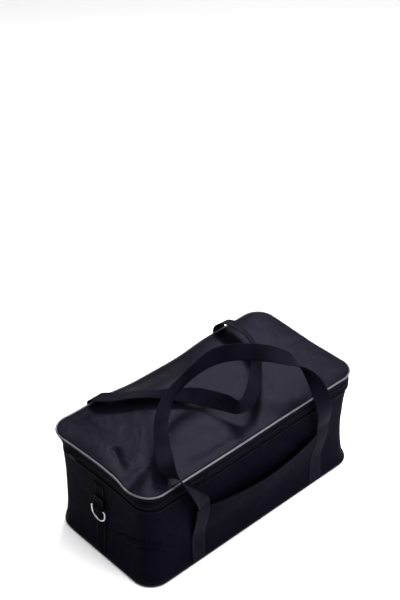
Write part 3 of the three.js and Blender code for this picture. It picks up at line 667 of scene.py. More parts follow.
# The lid's creases and ridges, read from where the photograph is light and dark, as
# (height, half width, start, end).
LID_CREASES = [
    (-4.0, 7.5, (-209, 6), (-243, -66)),
    (1.6, 13, (-232, 32), (-248, -12)),
    (1.6, 18, (-205, -40), (-215, -80)),
    (-1.2, 9, (-150, -112), (60, -116)),
]

lid_cloth = woven_polyester("oxford_polyester_lid", "#05040a", "#0a0911", 0.34, 0.05, 0.003)


def lid_relief(x, y):
    """How far the lid's cloth stands above or below its crown."""
    swell = np.exp(-((x + 90) / 70) ** 2 - ((y + 70) / 45) ** 2)
    relief = LID_SWELL * swell - LEFT_END_SAG * smooth_step(-x, 70, 180)
    relief = relief + 0.8 * ripple(x, y, 150, 0.7) + 0.3 * ripple(x, y, 48, 2.9)
    for height, half_wide, start, end in LID_CREASES:
        run_x, run_y = end[0] - start[0], end[1] - start[1]
        x_off, y_off = x - start[0], y - start[1]
        t = np.clip((x_off * run_x + y_off * run_y) / (run_x ** 2 + run_y ** 2), 0, 1)
        gap = np.hypot(x_off - t * run_x, y_off - t * run_y)
        relief = relief + height * np.exp(-(gap / half_wide) ** 2)
    return relief


def direction(xy):
    """The angle of a place seen from the lid's middle, on a lid drawn out to a square."""
    return np.arctan2(xy[..., 1] / HALF_DEPTH, xy[..., 0] / HALF_LENGTH)


# The station of the lid seam that lies in each direction from the lid's middle.
seam_stations = np.linspace(0, ROUND_BAG, SEAM_STEPS)
seam_directions = np.unwrap(direction(outline_at(seam_stations)[0]))


def lid_surface(share_x, share_y, inset):
    """A point on the lid from its shares of the half sizes, -1 to 1 both ways."""
    half = np.array([HALF_LENGTH, HALF_DEPTH]) - inset
    flat = half - CORNER_RADIUS
    xy = np.stack([share_x, share_y], -1) * half
    t = np.clip((np.abs(xy) - flat) / CORNER_RADIUS, 0, 1)
    rounded = np.sign(xy) * (flat + CORNER_RADIUS * t * np.sqrt(1 - t[..., ::-1] ** 2 / 2))
    xy = np.where(t > 0, rounded, xy)
    turn = np.mod(direction(xy) - seam_directions[0], 2 * math.pi) + seam_directions[0]
    s = np.interp(turn, seam_directions, seam_stations)
    share = np.maximum(np.abs(share_x), np.abs(share_y))
    edge, free = smooth_step(share, 0.55, 1), 1 - smooth_step(share, 0.8, 1)
    slump_out, slump_down = lid_droop(s, LID_SEAM_HEIGHT)
    z = LID_SEAM_HEIGHT + LID_CROWN * (1 - share ** 5) + lid_relief(xy[..., 0], xy[..., 1]) * free
    z = z + (rim_rise(s, LID_SEAM_HEIGHT) - slump_down) * edge
    out = (rim_out(s) + slump_out) * edge
    return at_height(xy + outline_at(s)[1] * out[..., None], z)


def lid_sheet(name, depth, inset, material, thickness):
    """A sheet that follows the lid's top at a depth under it, with its own thickness."""
    long_share, wide_share = (np.linspace(-1, 1, count) for count in LID_GRID)
    points = lid_surface(*np.meshgrid(long_share, wide_share, indexing="ij"), inset)
    points[..., 2] -= depth
    sheet = grid_piece(name, points, material, u=long_share * HALF_LENGTH, v=wide_share * HALF_DEPTH)
    thick = sheet.modifiers.new("thickness", "SOLIDIFY")
    thick.thickness = thickness * MM
    thick.offset = -1
    return sheet


def level_underside(sheet, height):
    """Makes the sheet's thickness real and cuts its underside level, but never through."""
    bpy.context.view_layer.update()
    count = len(sheet.data.vertices)
    made = sheet.evaluated_get(bpy.context.evaluated_depsgraph_get())
    mesh = bpy.data.meshes.new_from_object(made)
    sheet.modifiers.clear()
    sheet.data = mesh
    for upper, lower in zip(mesh.vertices[:count], mesh.vertices[count:]):
        lower.co.z = min(max(lower.co.z, height * MM), upper.co.z - LID_FOAM_LEAST * MM)


lid_top = lid_sheet("lid_top_panel", 0, LID_INSET, lid_cloth, FABRIC)
seat(lid_top, "lid", "fabric_black", "lid_top")
lid_slab = lid_sheet("lid_foam_slab", FABRIC + SEAM_GAP, LID_FOAM_INSET, foam_sheet, LID_FOAM)
level_underside(lid_slab, LID_FOAM_UNDERSIDE)
seat(lid_slab, "lid", "foam_white", "lid_foam")


def on_band(s, z, lift=0.0):
    """A point on the lid's band: it follows the lid's edge, with soft dents and a seam."""
    soft = np.sin(math.pi * np.clip((z - BAND_BOTTOM) / (LID_SEAM_HEIGHT - BAND_BOTTOM), 0, 1))
    dents = 0.5 * soft * ripple(s, 3 * z, 90, 1.9) - 0.6 * soft
    dents = dents - 0.9 * np.exp(-((z - BAND_SEAM_HEIGHT) / 1.3) ** 2)
    slump_out, slump_down = lid_droop(s, z)
    off = rim_out(s) + dents + lift + slump_out + corner_waist(s, z)
    return off_outline(s, off, z + rim_rise(s, z) - slump_down)


band_levels = up_and_down(np.linspace(BAND_BOTTOM, BAND_TOP, BAND_STEPS))
band_lifts = np.repeat([0, -FABRIC], BAND_STEPS)
lid_band = round_piece("lid_band_cloth", on_band, band_levels, band_lifts, body_cloth)
seat(lid_band, "lid", "fabric_black", "lid_band")

# The film is a shallow tray turned upside down under the foam, with its rim inside the band.
tray_levels = np.array([TRAY_TOP, TRAY_TOP, TRAY_BOTTOM, TRAY_BOTTOM, TRAY_TOP - FILM])
tray_lifts = -FOAM_INSET - np.array([TRAY_BORDER, 0, 0, FILM, FILM])
tray_points = on_band(stations[:, None], tray_levels, tray_lifts)
lid_film = grid_piece("lid_liner_film", tray_points, silver_film, True, caps=True)
seat(lid_film, "lid", "liner_silver", "lid_liner")

# Zip.
# A black nylon coil zip round the front and both ends. Two woven tapes are sewn behind the
# cloth, each with half of the coil along its edge, and the halves interlock.
ZIP_END = 88.0
TAPE_INSET = 2.0
TAPE = 0.8
TOOTH_PITCH = 2.4
LOWER_TAPE = (177.4, 183.0)
UPPER_TAPE = (187.0, 192.6)
COIL_INSET = 0.9
COIL_TURN = [(0, 0.3, 0.3), (0.3, 0.5, 0.5), (2.4, 0.5, 0.5), (3.1, 0.62, 0.6), (3.7, 0.45, 0.4)]
PULL_EDGE = 0.2
TAPE_STEPS = 300
COIL_STEPS = 600
zip_run = np.linspace(-ZIP_END, RIGHT_MIDDLE + ZIP_END, TAPE_STEPS)

for name, surface, heights, body, node in (
    ("zip_tape_on_wall", on_wall, LOWER_TAPE, "bag", "zip_tape_lower"),
    ("zip_tape_on_lid", on_band, UPPER_TAPE, "lid", "zip_tape_upper"),
):
    tape_lifts = -TAPE_INSET + np.repeat([TAPE, -TAPE], 2) / 2
    tape = round_piece(name, surface, up_and_down(heights), tape_lifts, binding_tape, zip_run)
    seat(tape, body, "zip_black", node)


def repeat_along_path():
    """A node group that sets copies of one shape along paths, each turned to its path."""
    group = bpy.data.node_groups.new("repeat_along_path", "GeometryNodeTree")
    kinds = {
        "Path": "NodeSocketGeometry", "Shape": "NodeSocketObject", "Spacing": "NodeSocketFloat",
        "Unevenness": "NodeSocketFloat", "Seed": "NodeSocketInt", "Finish": "NodeSocketMaterial",
    }
    for name, kind in kinds.items():
        group.interface.new_socket(name, in_out="INPUT", socket_type=kind)
    group.interface.new_socket("Pieces", in_out="OUTPUT", socket_type="NodeSocketGeometry")
    given = add_node(group, "NodeGroupInput").outputs
    curve = add_node(group, "GeometryNodeMeshToCurve", links={"Mesh": given["Path"]})
    steps = add_node(group, "GeometryNodeResampleCurve", {"mode": "LENGTH"}, {
        "Curve": curve.outputs["Curve"], "Length": given["Spacing"],
    })
    tangent = add_node(group, "GeometryNodeInputTangent")
    outward = add_node(group, "GeometryNodeInputNamedAttribute", {"data_type": "FLOAT_VECTOR"},
                       inputs={"Name": "outward"})
    along = add_node(group, "FunctionNodeAlignRotationToVector", {"axis": "X"}, {
        "Vector": tangent.outputs["Tangent"],
    })
    turned = add_node(group, "FunctionNodeAlignRotationToVector", {"axis": "Z", "pivot_axis": "X"}, {
        "Rotation": along.outputs["Rotation"], "Vector": outward.outputs["Attribute"],
    })
    least, most = (
        add_node(group, "ShaderNodeMath", {"operation": operation}, {1: given["Unevenness"]}, {0: 1.0})
        for operation in ("SUBTRACT", "ADD")
    )
    scale = add_node(group, "FunctionNodeRandomValue", {"data_type": "FLOAT"}, {
        2: least.outputs[0], 3: most.outputs[0], "Seed": given["Seed"],
    })
    shape = add_node(group, "GeometryNodeObjectInfo", links={"Object": given["Shape"]})
    copies = add_node(group, "GeometryNodeInstanceOnPoints", links={
        "Points": steps.outputs["Curve"], "Instance": shape.outputs["Geometry"],
        "Rotation": turned.outputs["Rotation"], "Scale": scale.outputs[1],
    })
    real = add_node(group, "GeometryNodeRealizeInstances", links={"Geometry": copies.outputs["Instances"]})
    finished = add_node(group, "GeometryNodeSetMaterial", links={
        "Geometry": real.outputs["Geometry"], "Material": given["Finish"],
    })
    add_node(group, "NodeGroupOutput", links={"Pieces": finished.outputs["Geometry"]})
    return group


repeat_group = repeat_along_path()
repeat_inputs = {
    item.name: item.identifier for item in repeat_group.interface.items_tree
    if item.item_type == "SOCKET" and item.in_out == "INPUT"
}


def repeat_piece(name, rows, shape, spacing, material, seed=1, unevenness=0.0):
    """Copies of a small shape along rows of (points, outward) in mm, as one plain mesh."""
    edges = []
    start = 0
    for points, _ in rows:
        edges.extend((start + i, start + i + 1) for i in range(len(points) - 1))
        start += len(points)
    mesh = bpy.data.meshes.new(name + "_path")
    mesh.from_pydata((np.concatenate([points for points, _ in rows]) * MM).tolist(), edges, [])
    directions = mesh.attributes.new("outward", "FLOAT_VECTOR", "POINT")
    directions.data.foreach_set("vector", np.concatenate([outward for _, outward in rows]).ravel())
    path = new_object(name + "_path", mesh)
    repeat = path.modifiers.new("repeat", "NODES")
    repeat.node_group = repeat_group
    values = {
        "Shape": shape, "Spacing": spacing * MM, "Unevenness": unevenness, "Seed": seed,
        "Finish": material,
    }
    for key, value in values.items():
        repeat[repeat_inputs[key]] = value
    bpy.context.view_layer.update()
    made = path.evaluated_get(bpy.context.evaluated_depsgraph_get())
    piece = new_object(name, bpy.data.meshes.new_from_object(made))
    bpy.data.objects.remove(path)
    return piece


def small_rod(name, rings, quarter_turns=0):
    """A short rounded rod of six sides, from (place along X, half width, half height)."""
    turn = np.radians(np.arange(6) * 60 + 30)
    points = np.array([
        [(x, wide * math.cos(a), high * math.sin(a)) for a in turn] for x, wide, high in rings
    ])
    rod = grid_piece(name, points, binding_tape, False, True, caps=True)
    rod.data.transform(Matrix.Rotation(quarter_turns * math.pi / 2, 4, "Z"))
    bpy.context.collection.objects.unlink(rod)
    return rod


def streaked_gloss(name, scale, detail, low, high, values):
    """A material whose roughness goes from low to high in fine streaks."""
    tree, finish = new_material(name)
    place = add_node(tree, "ShaderNodeTexCoord").outputs["Object"]
    streaks = add_node(tree, "ShaderNodeTexNoise", links={"Vector": place},
                       inputs={"Scale": scale, "Detail": detail})
    gloss = add_node(tree, "ShaderNodeMapRange", links={"Value": streaks.outputs["Fac"]},
                     inputs={"To Min": low, "To Max": high})
    return finish(values, {"Roughness": gloss.outputs["Result"]})


def outward_at(run):
    """The level direction out of the bag at each station of a run."""
    return at_height(outline_at(run)[1], np.zeros(len(run)))


# Nylon monofilament, wound and heat set: black, half gloss, a little streaked. The real
# coil turns every 1.4 mm and is drawn at 2.4 mm, so that single turns show.
coil_nylon = streaked_gloss("black_nylon_coil", 300, 2, 0.25, 0.45, {
    "Base Color": srgb("#060508"), "IOR": 1.53, "Specular IOR Level": 0.04,
})
turn_up = small_rod("coil_turn_up", COIL_TURN, 1)
turn_down = small_rod("coil_turn_down", COIL_TURN, -1)
for name, surface, height, turn, offset, body, node in (
    ("zip_coil_on_wall", on_wall, LOWER_TAPE[1] - COIL_INSET, turn_up, 0, "bag", "zip_coil_lower"),
    ("zip_coil_on_lid", on_band, UPPER_TAPE[0] + COIL_INSET, turn_down, TOOTH_PITCH / 2, "lid",
     "zip_coil_upper"),
):
    run = np.linspace(zip_run[0] + offset, zip_run[-1], COIL_STEPS)
    row = (surface(run, height, -TAPE_INSET), outward_at(run))
    seat(repeat_piece(name, [row], turn, TOOTH_PITCH, coil_nylon), body, "zip_black", node)

# Die cast zinc under black enamel: half gloss, with slight wear in its roughness.
black_enamel = streaked_gloss("black_enamelled_zinc", 240, 3, 0.5, 0.68, {
    "Base Color": srgb("#08070a"), "IOR": 1.5, "Specular IOR Level": 0.04,
})
for node_name in ("zip_slider_left", "zip_slider_right", "zip_pull_left", "zip_pull_right"):
    softened = finish_node(node_name, black_enamel).modifiers.new("soft_edges", "BEVEL")
    softened.width = PULL_EDGE * MM
    softened.segments = 2
    softened.angle_limit = math.radians(40)

# Hinge.
# Past the zip's two ends one strip of the body cloth joins wall and lid round the rear.
HINGE_AXIS_Y = 131.3
HINGE_BEND = (180.0, 190.0)
HINGE_SEAMS = ([177.4, 179.0], [191.0, 192.6])
HINGE_STEPS = (200, 11)


def on_hinge(s, z, lift):
    """A point on the hinge cloth, which goes from the wall over to the lid's band."""
    wall, band = on_wall(s, z, lift), on_band(s, z, lift)
    return wall + (band - wall) * smooth_step(z, *HINGE_BEND)[..., None]


def bend_between(piece, lower, upper, y, low, high):
    """Bakes the piece's place into its mesh; lower, upper, y, low and high are not used."""
    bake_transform(piece)


hinge_run = np.linspace(RIGHT_MIDDLE + ZIP_END + SEAM_GAP, ROUND_BAG - ZIP_END - SEAM_GAP, HINGE_STEPS[0])
hinge_up = np.concatenate([HINGE_SEAMS[0], np.linspace(*HINGE_BEND, HINGE_STEPS[1]), HINGE_SEAMS[1]])
hinge_lifts = -TAPE_INSET + np.repeat([TAPE, -TAPE], len(hinge_up)) / 2
hinge = round_piece("hinge_cloth", on_hinge, up_and_down(hinge_up), hinge_lifts, body_cloth, hinge_run)
seat(hinge, None, "fabric_black", "hinge_fabric_lower", "hinge_fabric_upper")
bend_between(hinge, "bag", "lid", HINGE_AXIS_Y, *HINGE_BEND)

# Straps and handles.
# One ribbed webbing, 30 mm wide, is sewn up the wall, leaves it in an arch and is sewn down
# it again. The front one does so in front, and the rear one behind.
WEBBING_WIDTH = 30.0
WEBBING = 1.8
STRAP_BOTTOM = WALL_BOTTOM + 1
FRONT_STRAP_LEFT = -139.0
FRONT_STRAP_RIGHT = 150.0
FRONT_STAND_OFF = 12.0
FRONT_LOOSE = 80.0
REAR_STRAP = 150.0
REAR_STAND_OFF = PIPING_RADIUS + SEAM_GAP
REAR_LOOSE = 45.0
REAR_JOIN = 206.0
FRONT_WEBBING_Y = HALF_DEPTH + FRONT_STAND_OFF + WEBBING / 2
REAR_WEBBING_Y = HALF_DEPTH + REAR_STAND_OFF + WEBBING / 2
FRONT_INWARD = HALF_DEPTH - FRONT_WEBBING_Y
REAR_INWARD = HALF_DEPTH - REAR_WEBBING_Y
FRONT_BEND = 136.0
REAR_BEND = 214.0
FRONT_FOOT = FRONT_BEND + 0.5 - LID_SEAM_HEIGHT
REAR_FOOT = REAR_BEND + 0.5 - LID_SEAM_HEIGHT
STRIP_STEP = 3.0
FACE_STEPS = 9
CURVE_STEPS = 40

handle_webbing = ribbed_webbing("ribbed_polyester_webbing", "#06050b", "#100f17")


def flat_section(width, thickness):
    """The outline of flat webbing with rounded edges, as (across, off the face)."""
    round_edge = thickness / 2
    half = width / 2 - round_edge
    turn = np.radians([-60, -20, 20, 60])
    right = [(half + round_edge * math.cos(a), round_edge * math.sin(a)) for a in turn]
    top = [(x, round_edge) for x in np.linspace(half, -half, FACE_STEPS)]
    return np.array(right + top + [(-x, -n) for x, n in right + top])


web_section = flat_section(WEBBING_WIDTH, WEBBING)


def stand_off(points, heights, side, top, loose, out):
    """Moves points on the front (side -1) or rear wall out to a plane near the loose top."""
    leave = smooth_step(heights, top - loose, top)
    points[..., 1] += leave * (side * out - points[..., 1])
    points[..., 2] += leave * (heights - points[..., 2])
    return points


def sewn_rows(station, turn, side, heights, section=web_section):
    """Rows of a strap on the front (side -1) or rear wall, with its loose top.
    turn is 1 where the section's own way across runs with the stations, else -1."""
    across, off = section.T
    z = np.broadcast_to(heights[:, None], (len(heights), len(section)))
    rows = on_wall(station + turn * across, z, SEAM_GAP + WEBBING / 2 + off)
    if side < 0:
        return stand_off(rows, z, side, FRONT_BEND, FRONT_LOOSE, FRONT_WEBBING_Y + off)
    return stand_off(rows, z, side, SPLIT_HEIGHT, REAR_LOOSE, REAR_WEBBING_Y + off)


def upright_rows(x, turn, bottom, top):
    """Rows of a rear strap where it stands free behind the lid."""
    heights = np.linspace(bottom, top, max(2, round((top - bottom) / STRIP_STEP)))
    across, off = web_section.T
    rows = np.zeros((len(heights), len(web_section), 3))
    rows[..., 0] = x + turn * across
    rows[..., 1] = REAR_WEBBING_Y + off
    rows[..., 2] = heights[:, None]
    return rows


def unit(vectors):
    """The vectors, each drawn to a length of one."""
    return vectors / np.linalg.norm(vectors, axis=-1, keepdims=True)


def relaxed(path, times):
    """The path with its kinks smoothed and its ends kept."""
    for _ in range(times):
        path[1:-1] = (path[:-2] + 2 * path[1:-1] + path[2:]) / 4
    return path


def sweep(middle, across, along, section):
    """Rows of a strip: a section of (across, off the face) carried along a path."""
    face = np.cross(along, across)
    return middle[:, None] + across[:, None] * section[:, :1] + face[:, None] * section[:, 1:]


def path_length(places):
    """The length of a path up to each of its places."""
    return np.append(0, np.cumsum(np.linalg.norm(np.diff(places, axis=0), axis=1)))


def smooth_path(places, spacing):
    """Even steps on a centripetal curve through places of (middle, way across)."""
    knots = np.sqrt(np.linalg.norm(np.diff(places[:, :3], axis=0), axis=1))
    gaps = np.concatenate([knots[:1], knots, knots[-1:]])[:, None]
    padded = np.concatenate([2 * places[:1] - places[1:2], places, 2 * places[-1:] - places[-2:-1]])
    slopes = np.diff(padded, axis=0) / gaps
    wide = (padded[2:] - padded[:-2]) / (gaps[1:] + gaps[:-1])
    tangents = slopes[:-1] - wide + slopes[1:]
    t = np.linspace(0, 1, CURVE_STEPS, endpoint=False)[:, None]
    curve = []
    for i, gap in enumerate(knots):
        a, b = places[i], places[i + 1]
        run_a, run_b = tangents[i] * gap, tangents[i + 1] * gap
        curve.append(a * (2 * t ** 3 - 3 * t ** 2 + 1) + run_a * (t ** 3 - 2 * t ** 2 + t)
                     + b * (3 * t ** 2 - 2 * t ** 3) + run_b * (t ** 3 - t ** 2))
    curve = np.concatenate(curve + [places[-1:]])
    along = path_length(curve[:, :3])
    even = np.linspace(0, along[-1], round(along[-1] / spacing) + 1)
    return np.stack([np.interp(even, along, curve[:, k]) for k in range(6)], 1)


def free_rows(places, start_x, end_x, side):
    """Rows of the free handle through its places. Each place is [share of the span between
    the straps, distance in from the bag's edge, height above the lid seam, way across]."""
    table = np.array(places, float)
    middle = np.stack([
        start_x + (end_x - start_x) * table[:, 0],
        side * (HALF_DEPTH - table[:, 1]),
        LID_SEAM_HEIGHT + table[:, 2],
    ], 1)
    path = relaxed(smooth_path(np.concatenate([middle, unit(table[:, 3:])], 1), STRIP_STEP), 3)
    centre, across = path[:, :3], path[:, 3:]
    along = np.gradient(centre, axis=0)
    along[0], along[-1] = (0, 0, 1), (0, 0, -1)
    along = unit(along)
    across = unit(across - along * (across * along).sum(1)[:, None])
    return sweep(centre, across, along, web_section)


def webbing_piece(name, rows, section=web_section, material=handle_webbing):
    """A webbing strip from its rows, mapped in mm along and across."""
    return grid_piece(name, rows, material, False, True, path_length(rows.mean(1)), section[:, 0], caps=True)


front_places = [
    [0, FRONT_INWARD, FRONT_FOOT, -1, 0, 0],
    [0, FRONT_INWARD, FRONT_FOOT + 9, -1, -0.03, 0],
    [-0.015, -17, -57, -0.96, -0.27, 0],
    [-0.047, -22, -44, -0.86, -0.5, 0],
    [-0.097, -26, -21, -0.65, -0.75, -0.08],
    [-0.138, -20, 0, -0.38, -0.92, 0.1],
    [-0.166, -4, 19, -0.36, -0.76, 0.55],
    [-0.173, 12, 27, 0.34, -0.36, 0.87],
    [-0.156, 30, 30, 0.86, -0.44, 0.26],
    [-0.114, 48, 31, 0.81, -0.55, -0.2],
    [-0.059, 70, 32, 0.72, -0.49, -0.48],
    [0.007, 94, 36, 0.6, -0.52, -0.6],
    [0.114, 120, 43, 0.25, -0.48, -0.84],
    [0.25, 138, 50, 0.1, -0.05, -0.99],
    [0.488, 146, 62, 0, -0.15, -0.99],
    [0.612, 140, 67, 0, -0.52, -0.85],
    [0.736, 114, 71, -0.03, -0.65, -0.76],
    [0.827, 81, 72, -0.5, -0.6, -0.6],
    [0.889, 55, 68, -0.8, -0.54, -0.26],
    [0.948, 30, 53, -0.41, -0.69, 0.59],
    [0.972, 11, 36, 0.19, -0.68, 0.71],
    [0.976, -3, 20, 0.53, -0.67, 0.53],
    [0.971, -16, 3, 0.82, -0.52, 0.25],
    [0.969, -22, -11, 0.94, -0.33, 0],
    [0.983, -20, -39, 1, -0.1, 0],
    [1, FRONT_INWARD, FRONT_FOOT + 9, 1, 0, 0],
    [1, FRONT_INWARD, FRONT_FOOT, 1, 0, 0],
]
strap_heights = np.arange(STRAP_BOTTOM, FRONT_BEND - 0.5, STRIP_STEP)
front_webbing = webbing_piece("front_handle_webbing", np.concatenate([
    sewn_rows(FRONT_MIDDLE + FRONT_STRAP_LEFT, -1, -1, strap_heights),
    free_rows(front_places, FRONT_STRAP_LEFT, FRONT_STRAP_RIGHT, -1),
    sewn_rows(FRONT_MIDDLE + FRONT_STRAP_RIGHT, 1, -1, strap_heights)[::-1],
]))
seat(front_webbing, None, "webbing_black", "front_strap_left", "front_strap_right", "front_handle")
bend_between(front_webbing, "bag", "front_loop", -FRONT_WEBBING_Y, FRONT_BEND - 4, FRONT_BEND + 10)

rear_places = [
    [0, REAR_INWARD, REAR_FOOT, 1, 0, 0],
    [0, REAR_INWARD, REAR_FOOT + 3, 1, 0, 0],
    [0.003, 4, REAR_FOOT + 8, 1, 0, 0.02],
    [0.02, 15, 15, 0.97, 0.25, -0.08],
    [0.075, 30, 15.5, 0.87, 0.47, -0.2],
    [0.165, 49, 16, 0.76, 0.58, -0.3],
    [0.283, 80, 17, 0.77, 0.52, -0.12],
    [0.407, 130, 22, 0.66, 0.46, 0.58],
    [0.47, 185, 30, 0.4, 0.35, 0.84],
    [0.49, 211, 34, -0.05, 0.05, 1],
    [0.56, 211, 39, -0.35, 0.45, 0.82],
    [0.657, 194, 43, -0.6, 0.42, 0.68],
    [0.793, 159, 41, -0.6, 0.22, 0.75],
    [0.92, 119, 37, -0.6, 0.15, 0.78],
    [0.98, 77, 34, -0.75, 0, 0.66],
    [1.005, 29, 30, -0.93, -0.1, 0.35],
    [1.003, 5, 19, -1, 0, 0.1],
    [1, REAR_INWARD, REAR_FOOT + 3, -1, 0, 0],
    [1, REAR_INWARD, REAR_FOOT, -1, 0, 0],
]
rear_heights = np.arange(STRAP_BOTTOM, SPLIT_HEIGHT - 0.5, STRIP_STEP)
for side_name, x, turn in (("left", -REAR_STRAP, -1), ("right", REAR_STRAP, 1)):
    rear_strap = webbing_piece("rear_strap_webbing_" + side_name, np.concatenate([
        sewn_rows(REAR_MIDDLE - x, turn, 1, rear_heights),
        upright_rows(x, -turn, SPLIT_HEIGHT + 1.5, REAR_JOIN),
    ]))
    seat(rear_strap, None, "webbing_black", "rear_strap_" + side_name, "rear_leg_" + side_name)
    bend_between(rear_strap, "bag", "lid", HINGE_AXIS_Y, *HINGE_BEND)
rear_webbing = webbing_piece("rear_handle_webbing", np.concatenate([
    upright_rows(-REAR_STRAP, 1, REAR_JOIN + 0.1, REAR_BEND - 1),
    free_rows(rear_places, -REAR_STRAP, REAR_STRAP, 1),
    upright_rows(REAR_STRAP, -1, REAR_JOIN + 0.1, REAR_BEND - 1)[::-1],
]))
seat(rear_webbing, None, "webbing_black", "rear_handle")
bend_between(rear_webbing, "lid", "rear_loop", HINGE_AXIS_Y, REAR_BEND - 6, REAR_BEND + 8)

# Front pocket.
# A panel of the body cloth between the front straps, cut with a dipped top edge that is
# turned in and sewn. It is longer than the wall behind it, so that it gapes.
POCKET_DIP = 10.0
POCKET_GAPE = 11.0
HEM_HEIGHT = 7.0
HEM = 0.8
POCKET_LEFT = FRONT_STRAP_LEFT + WEBBING_WIDTH / 2 + SEAM_GAP
POCKET_RIGHT = FRONT_STRAP_RIGHT - WEBBING_WIDTH / 2 - SEAM_GAP
POCKET_STEPS = 90
PANEL_STEPS = 40
HEM_STEPS = 6


def pocket_place(u, v, out):
    """A point on the pocket, out mm off its inner face, v from its bottom to its edge."""
    middle = np.sin(math.pi * u)
    height = STRAP_BOTTOM + (FRONT_BEND - POCKET_DIP * middle - STRAP_BOTTOM) * v
    stand = POCKET_GAPE * np.clip(middle, 0, 1) ** 0.8 * v ** 1.5
    x = POCKET_LEFT + (POCKET_RIGHT - POCKET_LEFT) * u
    off = stand + 0.9 * np.sin(math.pi * v) * middle * ripple(x, 1.6 * height, 74, 0.9) + out
    sheet = on_wall(FRONT_MIDDLE + x, height, SEAM_GAP + off)
    return stand_off(sheet, height, -1, FRONT_BEND, FRONT_LOOSE, HALF_DEPTH + FRONT_STAND_OFF + off)


def pocket_sheet(name, up, outs):
    """A closed panel from shares of the pocket's height, at an outer and an inner distance."""
    v = up_and_down(up)
    points = pocket_place(np.linspace(0, 1, POCKET_STEPS)[:, None], v, np.repeat(outs, len(up)))
    width = np.linspace(POCKET_LEFT, POCKET_RIGHT, POCKET_STEPS)
    height = v * (FRONT_BEND - STRAP_BOTTOM)
    return grid_piece(name, points, body_cloth, False, True, width, height, caps=True)


panel = pocket_sheet("pocket_panel", np.linspace(0, 1, PANEL_STEPS), [FABRIC, 0])
seat(panel, "bag", "fabric_black", "front_pocket")
hem_share = HEM_HEIGHT / (FRONT_BEND - STRAP_BOTTOM - POCKET_DIP / 2)
hem_outs = [FABRIC + SEAM_GAP + HEM, FABRIC + SEAM_GAP]
hem = pocket_sheet("pocket_hem_fold", np.linspace(1 - hem_share, 1, HEM_STEPS), hem_outs)
seat(hem, "bag", "webbing_black", "pocket_hem")

# End fittings.
# At the middle of each end a webbing strip covers the side seam, and a folded tab sewn on it
# holds a plated steel D ring.
END_STRIP_TOP = 165.0
END_STRIP = 1.0
TAB_WIDTH = 25.0
TAB = 1.4
TAB_RISE = 26.0
RING_WIRE = 1.6
RING_PLAY = 0.4
RING_HALF_WIDTH = 17.0
RING_DROP = 26.0
RING_CORNER = 3.0
RING_SIDES = 14
RING_CORNER_STEPS = 7
RING_BOW_STEPS = 33
TAB_STEPS = (9, 13, 6)
END_STRIP_STEPS = 54
RING_BAR_HEIGHT = 112.0
RING_BAR_X = 252.47
END_TAB_BACK = RING_BAR_X - RING_WIRE - RING_PLAY - TAB
strip_section = flat_section(TAB_WIDTH, END_STRIP)
tab_section = flat_section(TAB_WIDTH - 0.6, TAB)
# The tabs and end strips take a darker webbing with almost no gloss: painted shade for the deep shadow round
# each ring.
tab_webbing_painted_shade = ribbed_webbing("ribbed_polyester_webbing_narrow_painted_shade", "#040308", "#08070e", gloss=0.006)

# Nickel plated steel wire, bent and welded: bright, with fine polishing lines.
ring_steel = streaked_gloss("nickel_plated_steel", 500, 2, 0.14, 0.26, {
    "Base Color": srgb("#a6a7ab"), "Metallic": 1.0,
})


def tab_rows(side):
    """Rows of the folded tab: down the back layer, under the ring's bar, up the front one."""
    back, loop = END_TAB_BACK, RING_WIRE + RING_PLAY + TAB / 2
    top = RING_BAR_HEIGHT + TAB_RISE
    path = [(back + TAB / 2, z) for z in np.linspace(top, RING_BAR_HEIGHT + 1, TAB_STEPS[0])]
    path += [(RING_BAR_X + loop * math.cos(a), RING_BAR_HEIGHT + loop * math.sin(a))
             for a in np.radians(np.linspace(180, 360, TAB_STEPS[1]))]
    path += [(RING_BAR_X + loop - 0.3, RING_BAR_HEIGHT + 3), (back + TAB * 1.5 + 1.6, RING_BAR_HEIGHT + 7)]
    path += [(back + TAB * 1.5, z) for z in np.linspace(RING_BAR_HEIGHT + 11, top, TAB_STEPS[2])]
    path = relaxed(np.array(path), 2)
    middle = np.stack([side * path[:, 0], np.zeros(len(path)), path[:, 1]], 1)
    across = np.tile([0.0, 1.0, 0.0], (len(path), 1))
    return sweep(middle, across, unit(np.gradient(middle, axis=0)), tab_section)


def ring_points(side):
    """The D ring hanging from its bar: a flat bar with round corners and a half circle."""
    half, corner = RING_HALF_WIDTH, RING_CORNER
    bow = np.radians(np.linspace(0, -180, RING_BOW_STEPS))
    path = [(half - corner + corner * math.cos(a), corner * (math.sin(a) - 1))
            for a in np.radians(np.linspace(90, 0, RING_CORNER_STEPS))]
    path += [(half * math.cos(a), half * math.sin(a) - RING_DROP + half) for a in bow]
    path += [(-y, z) for y, z in path[RING_CORNER_STEPS - 1::-1]]
    y, z = np.array(path).T[..., None]
    along_y, along_z = unit(np.roll(path, -1, 0) - np.roll(path, 1, 0)).T[..., None]
    turn = 2 * math.pi * np.arange(RING_SIDES) / RING_SIDES
    x = np.broadcast_to(side * (RING_BAR_X + RING_WIRE * np.sin(turn)), (len(path), RING_SIDES))
    wire = RING_WIRE * np.cos(turn)
    return np.stack([x, y + wire * along_z, RING_BAR_HEIGHT + z - wire * along_y], -1)


strip_heights = np.linspace(STRAP_BOTTOM, END_STRIP_TOP, END_STRIP_STEPS)[:, None]
strip_across, strip_off = strip_section.T
for side_name, side, station in (("left", -1, LEFT_MIDDLE), ("right", 1, RIGHT_MIDDLE)):
    strip_rows = on_wall(station - strip_across, strip_heights, SEAM_GAP + END_STRIP / 2 + strip_off)
    strip = webbing_piece("end_strip_webbing_" + side_name, strip_rows, strip_section, tab_webbing_painted_shade)
    seat(strip, "bag", "webbing_black", "end_strip_" + side_name)
    tab = webbing_piece("ring_tab_webbing_" + side_name, tab_rows(side), tab_section, tab_webbing_painted_shade)
    seat(tab, "bag", "webbing_black", "ring_tab_" + side_name)
    ring = grid_piece("d_ring_" + side_name, ring_points(side), ring_steel, True, True)
    seat(ring, "ring_" + side_name[0], "ring_steel", "ring_" + side_name)

